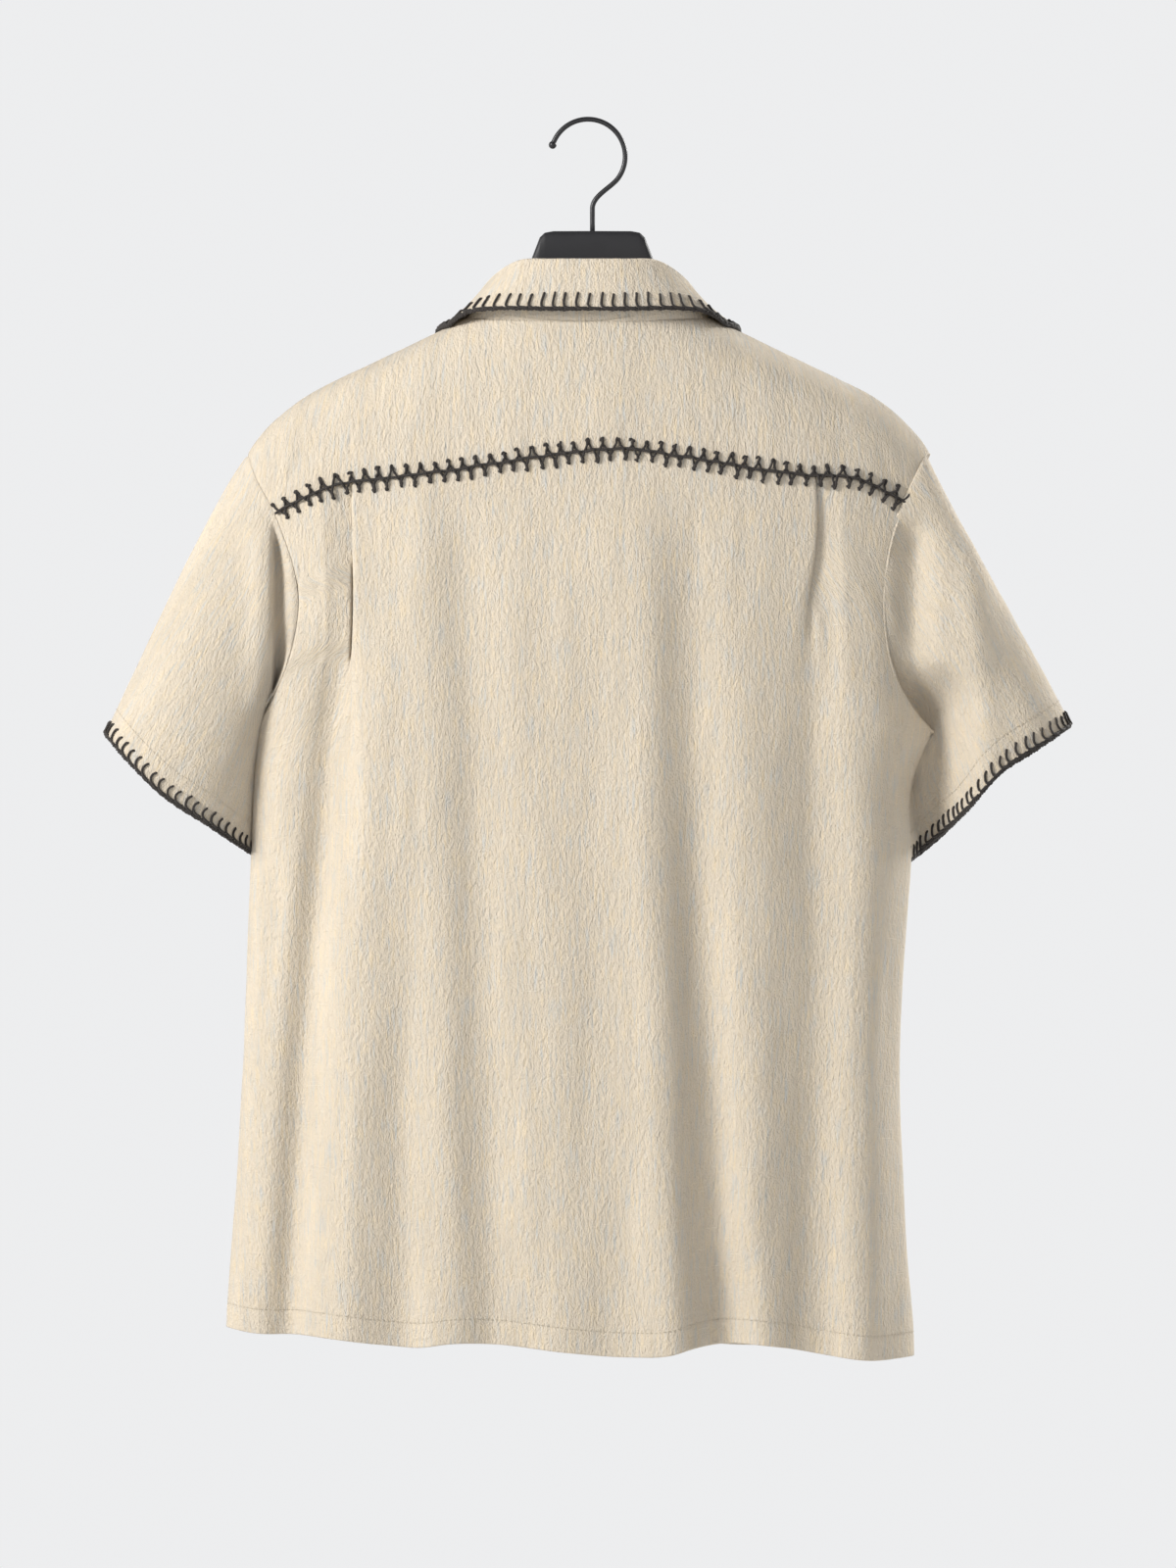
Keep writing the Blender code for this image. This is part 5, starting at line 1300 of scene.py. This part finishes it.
def make_strip(rows, reach, closed=False, centre=None):
    """A sewn edge resampled evenly: first index along it, second away from it."""
    away = lengths(rows, 0)
    distances = np.arange(0.0, reach, STRIP_STEP)
    points = np.stack([
        along_path(distances, away[:, c], rows[:, c]) for c in range(rows.shape[1])
    ])
    if closed:
        points = np.concatenate([points, points[:1]])
    along = lengths(points[:, :1], 0)[:, 0]
    even = np.linspace(0.0, along[-1], int(along[-1] / MM) + 1)
    points = np.stack([
        along_path(even, along, points[:, m]) for m in range(points.shape[1])
    ], axis=1)
    normals = unit(np.cross(np.gradient(points, axis=0), np.gradient(points, axis=1)))
    middle = points.reshape(-1, 3).mean(axis=0) if centre is None else np.array(centre)
    if np.sum(normals * (points - middle)) < 0:
        normals = -normals
    return {"points": points, "normals": normals, "size": float(along[-1]), "closed": closed}


def on_strip(strip, s, d):
    """Place and outward direction at a distance along and a distance away from the edge."""
    points, normals = strip["points"], strip["normals"]
    last = len(points) - 1
    u = s / strip["size"] * last
    u = np.mod(u, last) if strip["closed"] else np.clip(u, 0.0, last - 0.001)
    w = np.clip(d / STRIP_STEP, 0.0, points.shape[1] - 1.001)
    i, j = np.floor(u).astype(int), np.floor(w).astype(int)
    a, b = (u - i)[..., None], (w - j)[..., None]
    reads = []
    for grid in (points, normals):
        low = mix(grid[i, j], grid[i + 1, j], a)
        high = mix(grid[i, j + 1], grid[i + 1, j + 1], a)
        reads.append(mix(low, high, b))
    place, normal = reads[0], unit(reads[1])
    outward = unit(points[i, 0] - points[i, 2])
    return place + outward * np.maximum(-d, 0.0)[..., None], normal


def smooth_paths(paths, fine):
    """Catmull-Rom curves through a batch of paths."""
    before = np.concatenate([2 * paths[:, :1] - paths[:, 1:2], paths[:, :-1]], axis=1)
    after = np.concatenate([paths[:, 1:], 2 * paths[:, -1:] - paths[:, -2:-1]], axis=1)
    slope = (after - before) / 2
    pieces = []
    for t in np.linspace(0.0, 1.0, fine + 1)[:-1]:
        pieces.append(hermite(t, paths[:, :-1], paths[:, 1:], slope[:, :-1], slope[:, 1:]))
    fine_points = np.stack(pieces, axis=2).reshape(len(paths), -1, 3)
    return np.concatenate([fine_points, paths[:, -1:]], axis=1)


def tube_batch(paths, radius, sides, start=0.0):
    """Round threads along a batch of paths: vertices, faces and places on the thread."""
    count, n = paths.shape[:2]
    radius = np.broadcast_to(np.asarray(radius, dtype=float), (count, n)).copy()
    tangent = unit(np.gradient(paths, axis=1))
    first, last = paths[:, :1], paths[:, -1:]
    ends = radius[:, :1, None] * 0.7
    before, after = first - tangent[:, :1] * ends, last + tangent[:, -1:] * ends
    paths = np.concatenate([before, paths, after], axis=1)
    radius = np.concatenate([radius[:, :1] * 0.5, radius, radius[:, -1:] * 0.5], axis=1)
    tangent = np.concatenate([tangent[:, :1], tangent, tangent[:, -1:]], axis=1)
    n += 2
    helper = np.where(np.abs(tangent[:, 0, 2:3]) < 0.8, [[0.0, 0.0, 1.0]], [[1.0, 0.0, 0.0]])
    side = unit(np.cross(tangent[:, 0], helper))
    sides_of = [side]
    for k in range(1, n):
        side = side - tangent[:, k] * np.sum(side * tangent[:, k], axis=-1, keepdims=True)
        side = unit(side)
        sides_of.append(side)
    across = np.stack(sides_of, axis=1)
    other = np.cross(tangent, across)
    angle = np.arange(sides) / sides * 2 * math.pi
    ring = across[:, :, None] * np.cos(angle)[:, None] + other[:, :, None] * np.sin(angle)[:, None]
    vertices = paths[:, :, None] + ring * radius[:, :, None, None]
    index = np.arange(count * n * sides).reshape(count, n, sides)
    turned = np.roll(index, -1, axis=2)
    quads = np.stack([index[:, :-1], index[:, 1:], turned[:, 1:], turned[:, :-1]], axis=-1)
    run = lengths(paths, 1) + start + np.arange(count)[:, None] * 0.0137
    u0 = np.broadcast_to(np.arange(sides) / sides, (count, n - 1, sides))
    u1 = u0 + 1.0 / sides
    v0 = np.broadcast_to(run[:, :-1, None], u0.shape)
    v1 = np.broadcast_to(run[:, 1:, None], u0.shape)
    uv = np.stack([
        np.stack([u0, v0], axis=-1), np.stack([u0, v1], axis=-1),
        np.stack([u1, v1], axis=-1), np.stack([u1, v0], axis=-1),
    ], axis=3)
    caps = np.concatenate([index[:, 0, ::-1], index[:, -1]])
    return vertices.reshape(-1, 3), quads.reshape(-1, 4), uv.reshape(-1, 2), caps


def thread_piece(name, batches, material):
    """One piece from several batches of threads."""
    vertices, faces, corners, shift = [], [], [], 0
    for points, quads, uv, caps in batches:
        vertices.extend(points.tolist())
        faces.extend((quads + shift).tolist())
        corners.append(uv)
        shift += len(points)
    shift = 0
    for points, quads, uv, caps in batches:
        faces.extend((caps + shift).tolist())
        corners.append(np.zeros((caps.size, 2)))
        shift += len(points)
    return new_piece(name, vertices, faces, material, np.concatenate(corners))


def lay(strip, table, places, random, cloth, radius, lean, height):
    """A batch of equal stitches at places along an edge, each a little different."""
    table = np.array(table)
    jitter = random.uniform(-STITCH_WOBBLE, STITCH_WOBBLE, (len(places), len(table), 2))
    along, away = table[None, :, 0], table[None, :, 1]
    s = along + jitter[..., 0] + lean * away / 10.0
    d = np.where(away > 0, away * height[:, None], away) + jitter[..., 1]
    place, normal = on_strip(strip, places[:, None] + s * MM, d * MM)
    return place + normal * (cloth + radius * table[None, :, 2:3])


def blanket_stitch(name, strip, pitch, leg, inner_leg, radius, cloth, inner, seed, ends_share=1.0):
    """Legs up the cloth on both sides, joined by a twisted cord along the edge."""
    random = np.random.RandomState(seed)
    count = int(round(strip["size"] / pitch))
    step = strip["size"] / count
    places = (np.arange(count) + (0.0 if strip["closed"] else 0.5)) * step
    places = places + random.uniform(-0.09, 0.09, count) * step
    height = random.uniform(0.88, 1.08, count)
    beyond = np.abs(places - strip["size"] / 2) - SHORTER_FROM
    height = height * mix(1.0, ends_share, ease(beyond / SHORTER_OVER))
    leans = random.uniform(-0.5, 0.7, count)[:, None]
    outer_paths = lay(strip, leg, places, random, cloth, radius, leans, height)
    rough = random.uniform(0.93, 1.07, (count, 1))
    batches = [tube_batch(smooth_paths(outer_paths, 3), radius * rough, 8)]
    if inner_leg:
        inner_paths = lay(
            strip, inner_leg, places, random, -cloth - inner, -radius, leans, height)
        batches.append(tube_batch(smooth_paths(inner_paths, 2), radius * rough, 6))
    s = np.linspace(0.0, strip["size"], int(strip["size"] / CORD_STEP))
    knot = 2 * math.pi * (s / step)
    drift = wave_noise(s, s * 0.0, 9.0 * MM, 1.0, seed + 3)
    for phase, size in ((0.0, 0.98), (math.pi, 0.9)):
        sag = CORD_SAG * np.abs(np.sin(knot / 2))
        turn = CORD_TWIST * knot + phase
        d = CORD_PLACE + (0.62 * MM + 0.15 * MM * drift) * np.sin(turn) - sag
        lift = -inner / 2 + 0.75 * MM * np.cos(turn)
        place, normal = on_strip(strip, s, d)
        cord = place + normal * lift[:, None]
        thick = radius * size * (CORD_SIZE + 0.16 * drift)
        batches.append(tube_batch(cord[None], thick[None], 8, phase))
    piece = thread_piece(name, batches, THREAD)
    return dress(piece, "slub_cotton")


def skin(x, z):
    """Place and outward direction on the back, folds and unevenness included."""

    def depth(x, z):
        above = z > YOKE_SEAM_OF(x)
        grid = np.stack([x, x * 0.0, z], axis=-1)
        yoke = crease_height(YOKE_CREASES, x, z) + unevenness(grid, YOKE_SEED, YOKE_UNEVEN)
        back = crease_height(BACK_CREASES, x, z) + unevenness(grid, BACK_SEED, CLOTH_UNEVEN)
        return body_y(x, z, 1.0) + np.where(above, yoke, back)

    step = 1.5 * MM
    y = depth(x, z)
    dx = (depth(x + step, z) - depth(x - step, z)) / (2 * step)
    dz = (depth(x, z + step) - depth(x, z - step)) / (2 * step)
    return np.stack([x, y, z], axis=-1), unit(np.stack([-dx, dx * 0.0 + 1.0, -dz], axis=-1))


def on_seam(route, s, d):
    """Place and outward direction at a distance along the yoke seam and one away from it."""
    x, z = route
    run = lengths(skin(x, z)[0], 0)
    here = np.clip(s, 0.0, run[-1])
    cx, cz = np.interp(here, run, x), np.interp(here, run, z)
    tx, tz = np.gradient(x), np.gradient(z)
    size = np.hypot(tx, tz)
    ux, uz = np.interp(here, run, tz / size), np.interp(here, run, -tx / size)
    return skin(cx + ux * d, cz + uz * d)


def yoke_stitch():
    """Crossed double stitch: two threads zigzag along the seam over a third one."""
    random = np.random.RandomState(77)
    x = np.linspace(*YOKE_STITCH_ENDS, 900) * MM
    route = (x, YOKE_SEAM_OF(x))
    size = float(lengths(skin(*route)[0], 0)[-1])
    count = int(round(size / YOKE_PITCH))
    step = size / count
    places = np.arange(count) * step + random.uniform(-0.1, 0.1, count) * step
    tall = random.uniform(0.84, 1.14, (count, 1))
    batches = []
    for table in (np.array(YOKE_DOWN), np.array(YOKE_UP)):
        jitter = random.uniform(-0.36, 0.36, (count, len(table), 2))
        s = places[:, None] + (table[None, :, 0] * step / YOKE_PITCH + jitter[..., 0]) * MM
        d = (table[None, :, 1] * tall + jitter[..., 1]) * MM
        where, outward = on_seam(route, s, d)
        paths = where + outward * (CLOTH / 2 + table[None, :, 2:3] * YOKE_THREAD)
        thick = YOKE_THREAD * random.uniform(0.92, 1.1, (count, 1))
        batches.append(tube_batch(smooth_paths(paths, 3), thick, 8))
    s = np.linspace(0.0, size, int(size / (1.6 * MM)))
    wander = wave_noise(s, s * 0.0, 6.0 * MM, 1.0, 6)
    where, outward = on_seam(route, s, 0.3 * MM + 0.5 * MM * wander)
    lift = CLOTH / 2 + YOKE_THREAD * (1.3 + 0.5 * np.sin(2 * math.pi * s / step + 0.8))
    cord = where + outward * lift[:, None]
    batches.append(tube_batch(smooth_paths(cord[None], 2), YOKE_THREAD * 1.12, 8))
    return dress(thread_piece("yoke_stitch", batches, THREAD), "slub_cotton")


def dash_row(place_at, size):
    """Small even machine stitches along a line."""
    starts = np.arange(2.0 * MM, size - 4.0 * MM, DASH_PITCH)
    s = starts[:, None] + np.array([0.0, 0.25, 0.5, 0.75, 1.0])[None] * DASH
    place, normal = place_at(s)
    lift = np.array([-0.25, 0.16, 0.3, 0.16, -0.25]) * MM
    return tube_batch(place + normal * (CLOTH / 2 + lift)[None, :, None], FINE_THREAD, 6)


def strip_dashes(strip, away):
    return dash_row(lambda s: on_strip(strip, s, np.full_like(s, away)), strip["size"])


def neck_dashes():
    """Line of machine stitches on the yoke below the collar."""
    x = np.linspace(59.0, -61.0, 300) * MM
    z = smooth_table(NECK_STITCH)(x)
    run = lengths(skin(x, z)[0], 0)
    return dash_row(lambda s: skin(np.interp(s, run, x), np.interp(s, run, z)), float(run[-1]))


def lathe(profile, sides, place):
    """A turned form about the front-to-back axis.  Profile: (radius, depth) in millimetres."""
    profile = np.array(profile) * MM
    angle = np.arange(sides) / sides * 2 * math.pi
    ring = np.stack([np.cos(angle), np.zeros(sides), np.sin(angle)], axis=-1)
    rows = [np.array(place) + ring * r + np.array([0.0, y, 0.0]) for r, y in profile]
    return np.stack(rows)


def mesh_from_rows(name, rows, material):
    """A closed form through rings of points."""
    count, sides = rows.shape[:2]
    index = np.arange(count * sides).reshape(count, sides)
    turned = np.roll(index, -1, axis=1)
    faces = np.stack([index[:-1], turned[:-1], turned[1:], index[1:]], axis=-1).reshape(-1, 4)
    ends = [index[0, ::-1].tolist(), index[-1].tolist()]
    piece = new_piece(name, rows.reshape(-1, 3).tolist(), faces.tolist() + ends, material)
    shell = bmesh.new()
    shell.from_mesh(piece.data)
    bmesh.ops.recalc_face_normals(shell, faces=shell.faces)
    shell.to_mesh(piece.data)
    shell.free()
    return piece


def build_button(number):
    """A turned button with four holes, held by crossed threads in its dished middle."""
    node = f"button_{number}"
    middle = np.mean(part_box(node), axis=0)
    piece = mesh_from_rows(f"{node}_fine", lathe(BUTTON_PROFILE, 56, middle), BUTTON)
    for k in range(4):
        angle = math.pi / 4 + k * math.pi / 2
        spot = np.array([math.cos(angle), 0.0, math.sin(angle)]) * HOLE_PLACE + middle
        rows = lathe(((HOLE_RADIUS, -3.0), (HOLE_RADIUS, 3.0)), 16, spot)
        cutter = mesh_from_rows(f"cut_{number}_{k}", rows, BUTTON)
        hole = piece.modifiers.new(f"hole_{k}", "BOOLEAN")
        hole.operation = "DIFFERENCE"
        hole.object = cutter
        bpy.context.view_layer.objects.active = piece
        bpy.ops.object.modifier_apply(modifier=hole.name)
        bpy.data.objects.remove(cutter)
    dress(piece, "dark_button", node)
    threads = []
    for x, z in ((1.2, 1.2), (1.2, -1.2)):
        for shift in (-0.22, 0.22):
            table = np.array([
                (-x - shift, 0.9, -z), (-x - shift, -0.55, -z), (-x * 0.6 - shift, -0.95, -z * 0.6),
                (x * 0.6 - shift, -1.0, z * 0.6), (x - shift, -0.55, z), (x - shift, 0.9, z),
            ]) * MM
            threads.append(table + middle)
    batch = tube_batch(smooth_paths(np.stack(threads), 3), FINE_THREAD, 6)
    return dress(thread_piece(f"{node}_thread", [batch], TOPSTITCH), "slub_cotton")


def hanger_ring(x, top, low, half, power, sides):
    angle = 2 * math.pi * (np.arange(sides) + 0.5) / sides
    c, s = np.cos(angle), np.sin(angle)
    y = half * np.copysign(np.abs(c) ** power, c)
    z = (top + low) / 2 + (top - low) / 2 * np.copysign(np.abs(s) ** power, s)
    return np.stack([np.full(sides, x), y, z], axis=-1)


def hanger_stations(side):
    rows = [
        (HANGER_MIDDLE_X + side * x, top, low, half, BLOCK_POWER)
        for x, top, low, half in HANGER_BLOCK
    ]
    for x in HANGER_ARM_X + HANGER_TIP_X:
        top = float(ridge_z(side * x * MM)) / MM - ARM_ROOM[x >= ARM_ROOM_X]
        shrink = HANGER_TIP_SHARES.get(x, 1.0)
        top -= ARM_HEIGHT * (1 - shrink) * 0.35
        low = top - ARM_HEIGHT * shrink
        rows.append((side * x, top, low, ARM_HALF * shrink, ARM_POWER))
    return rows


def build_hanger():
    """Neck block with eased edges, and arms that follow the shoulders."""
    rings = []
    for side in (-1, 1):
        rows = np.array(hanger_stations(side))
        keys = np.arange(len(rows), dtype=float)
        fine = np.linspace(0.0, len(rows) - 1.0, HANGER_FINE * (len(rows) - 1) + 1)
        fine = fine[1:] if side > 0 else fine[::-1]
        line = np.stack([np.interp(fine, keys, column) for column in rows.T], axis=-1)
        block = fine[:, None] < HANGER_BLOCK_ROWS
        for section in np.where(block, line, through_rows(rows, fine)):
            rings.append(hanger_ring(*section, HANGER_SIDES) * MM)
    piece = mesh_from_rows("hanger_fine", np.stack(rings), HANGER)
    bevel = piece.modifiers.new("edges", "BEVEL")
    bevel.width = HANGER_EDGE
    bevel.segments = 3
    bevel.limit_method = "ANGLE"
    bevel.angle_limit = math.radians(24.0)
    return dress(piece, "black_hanger", "hanger_body")


def build_hook():
    """Round wire with a ball at its end."""
    centre_z = WIRE_RADIUS - CROOK_RADIUS
    stem = [(STEM_X, 0.0, z) for z in np.linspace(STEM_LOW_Z, STEM_TOP_Z, 4)]
    crook = [
        (CROOK_RADIUS * math.cos(a), 0.0, centre_z + CROOK_RADIUS * math.sin(a))
        for a in np.linspace(CROOK_START, CROOK_END, 60)
    ]
    leave = np.array([0.0, 0.0, LEAVE_PULL])
    arrive = np.array([math.sin(CROOK_START), 0.0, -math.cos(CROOK_START)]) * ARRIVE_PULL
    bend_points = [
        tuple(hermite(t, np.array(stem[-1]), np.array(crook[0]), leave, arrive))
        for t in np.linspace(0.06, 0.94, 15)
    ]
    route = np.array(stem + bend_points + crook)
    piece = thread_piece("hook_fine", [tube_batch(route[None], WIRE_RADIUS, 20)], WIRE)
    bpy.ops.mesh.primitive_uv_sphere_add(
        segments=32, ring_count=20, radius=BALL_RADIUS, location=crook[-1])
    ball = bpy.context.object
    ball.name = "hook_ball"
    ball.data.materials.append(WIRE)
    for polygon in ball.data.polygons:
        polygon.use_smooth = True
    dress(ball, "black_wire")
    return dress(piece, "black_wire", "hanger_hook")


def make_stage():
    """A pale floor, which glows more away from its middle, where the lights don't reach."""
    bpy.ops.mesh.primitive_cylinder_add(
        vertices=128, radius=FLOOR_RADIUS, depth=FLOOR_DEPTH, location=(0.0, 0.0, FLOOR_Z))
    floor = bpy.context.object
    floor.name = "floor"
    material, shader, add, _, links = node_tools("pale_floor")
    place = add("ShaderNodeTexCoord").outputs["Object"]
    speckle = stretched_noise(add, links, place, (6.0, 6.0, 6.0), 3.0, 0.5)
    colour = colour_mix(add, links, speckle, *FLOOR_COLOURS)
    links.new(colour, shader.inputs["Base Color"])
    fill(shader, {"Roughness": 0.8, "Emission Color": (1.0, 1.0, 1.0, 1.0)})
    reach = add("ShaderNodeVectorMath", operation="LENGTH")
    links.new(place, reach.inputs[0])
    glow = map_range(add("ShaderNodeMapRange"), links, reach.outputs["Value"], FLOOR_GLOW)
    links.new(glow, shader.inputs["Emission Strength"])
    floor.data.materials.append(material)


def area_light(name, place, size, power, colour):
    """A round soft light turned toward the shirt's middle."""
    data = bpy.data.lights.new(name, "AREA")
    data.shape = "DISK"
    data.size = size
    data.energy = power
    data.color = colour
    light = bpy.data.objects.new(name, data)
    bpy.context.scene.collection.objects.link(light)
    light.location = place
    aim = np.array(LIGHT_TARGET) - np.array(place)
    yaw = math.atan2(-aim[0], aim[1])
    pitch = math.atan2(aim[2], math.hypot(aim[0], aim[1]))
    light.rotation_euler = (pitch + math.pi / 2, 0.0, yaw)


def make_light():
    """A pale studio: bright near the horizon, dimmer above, with soft lights on both faces."""
    world = bpy.data.worlds.new("studio")
    bpy.context.scene.world = world
    world.use_nodes = True
    nodes, links = world.node_tree.nodes, world.node_tree.links
    back = nodes["Background"]
    place = nodes.new("ShaderNodeTexCoord")
    split = nodes.new("ShaderNodeSeparateXYZ")
    links.new(place.outputs["Generated"], split.inputs[0])
    height = nodes.new("ShaderNodeMath")
    height.operation = "ABSOLUTE"
    links.new(split.outputs[2], height.inputs[0])
    tone = nodes.new("ShaderNodeMapRange")
    tone.interpolation_type = "SMOOTHSTEP"
    strength = map_range(tone, links, height.outputs[0], SKY_TONE)
    fill(back, {"Color": SKY_COLOUR})
    links.new(strength, back.inputs["Strength"])
    for light in LIGHTS:
        area_light(*light)
    view = bpy.context.scene.view_settings
    view.view_transform = "Standard"
    view.look = "None"


def make_camera():
    """Level camera behind the shirt, with the photograph's frame."""
    data = bpy.data.cameras.new("camera")
    camera = bpy.data.objects.new("camera", data)
    bpy.context.scene.collection.objects.link(camera)
    camera.location = (0.0, CAMERA_DISTANCE, CAMERA_Z)
    camera.rotation_euler = (math.pi / 2, 0.0, math.pi)
    data.sensor_fit = "VERTICAL"
    data.sensor_height = 36.0
    data.lens = data.sensor_height * CAMERA_DISTANCE / FRAME_HEIGHT
    bpy.context.scene.camera = camera


make_camera()
back_piece, back_grid = build_back()
yoke_piece, yoke_grid = build_yoke()
left_piece, left_grid = build_front(1, "front_left")
right_piece, right_grid = build_front(-1, "front_right")
sleeve_left_piece, sleeve_left_grid = build_sleeve(1, "sleeve_left")
sleeve_right_piece, sleeve_right_grid = build_sleeve(-1, "sleeve_right")
collar_piece, collar_grid = build_collar()
collar_rows = collar_grid[::-1, ::-1].transpose(1, 0, 2)[:COLLAR_COLUMNS[2]]
collar_strip = make_strip(collar_rows, 13.0 * MM, centre=(0.0, 0.0, -0.14))
cuff_strips = [
    make_strip(grid[::-1, ::-1], 21.0 * MM, closed=True)
    for grid in (sleeve_left_grid, sleeve_right_grid)
]
hem_strips = [
    make_strip(grid[::-1], 19.0 * MM, centre=(0.0, 0.0, -0.85))
    for grid in (back_grid, left_grid, right_grid)
]
collar_stitch = blanket_stitch(
    "collar_stitch", collar_strip, COLLAR_PITCH, COLLAR_LEG, (), COLLAR_THREAD, COLLAR_SKIN, 0.0,
    101, 0.5,
)
cuff_stitches = [
    blanket_stitch(
        name, strip, CUFF_PITCH, CUFF_LEG, CUFF_INNER_LEG, CUFF_THREAD, CLOTH / 2,
        2 * TURN_RADIUS, seed)
    for name, strip, seed in (
        ("cuff_stitch_left", cuff_strips[0], 131), ("cuff_stitch_right", cuff_strips[1], 151),
    )
]
yoke_thread = yoke_stitch()
hem_stitches = [
    dress(thread_piece(name, [strip_dashes(strip, away)], TOPSTITCH), "slub_cotton")
    for name, strip, away in (
        ("hem_stitch_back", hem_strips[0], HEM_TURN),
        ("hem_stitch_left", hem_strips[1], HEM_TURN),
        ("hem_stitch_right", hem_strips[2], HEM_TURN),
        ("cuff_seam_left", cuff_strips[0], CUFF_TURN),
        ("cuff_seam_right", cuff_strips[1], CUFF_TURN),
    )
]
neck_thread = dress(thread_piece("neck_stitch", [neck_dashes()], TOPSTITCH), "slub_cotton")
for number in range(1, 6):
    build_button(number)
build_hanger()
build_hook()

make_stage()
make_light()
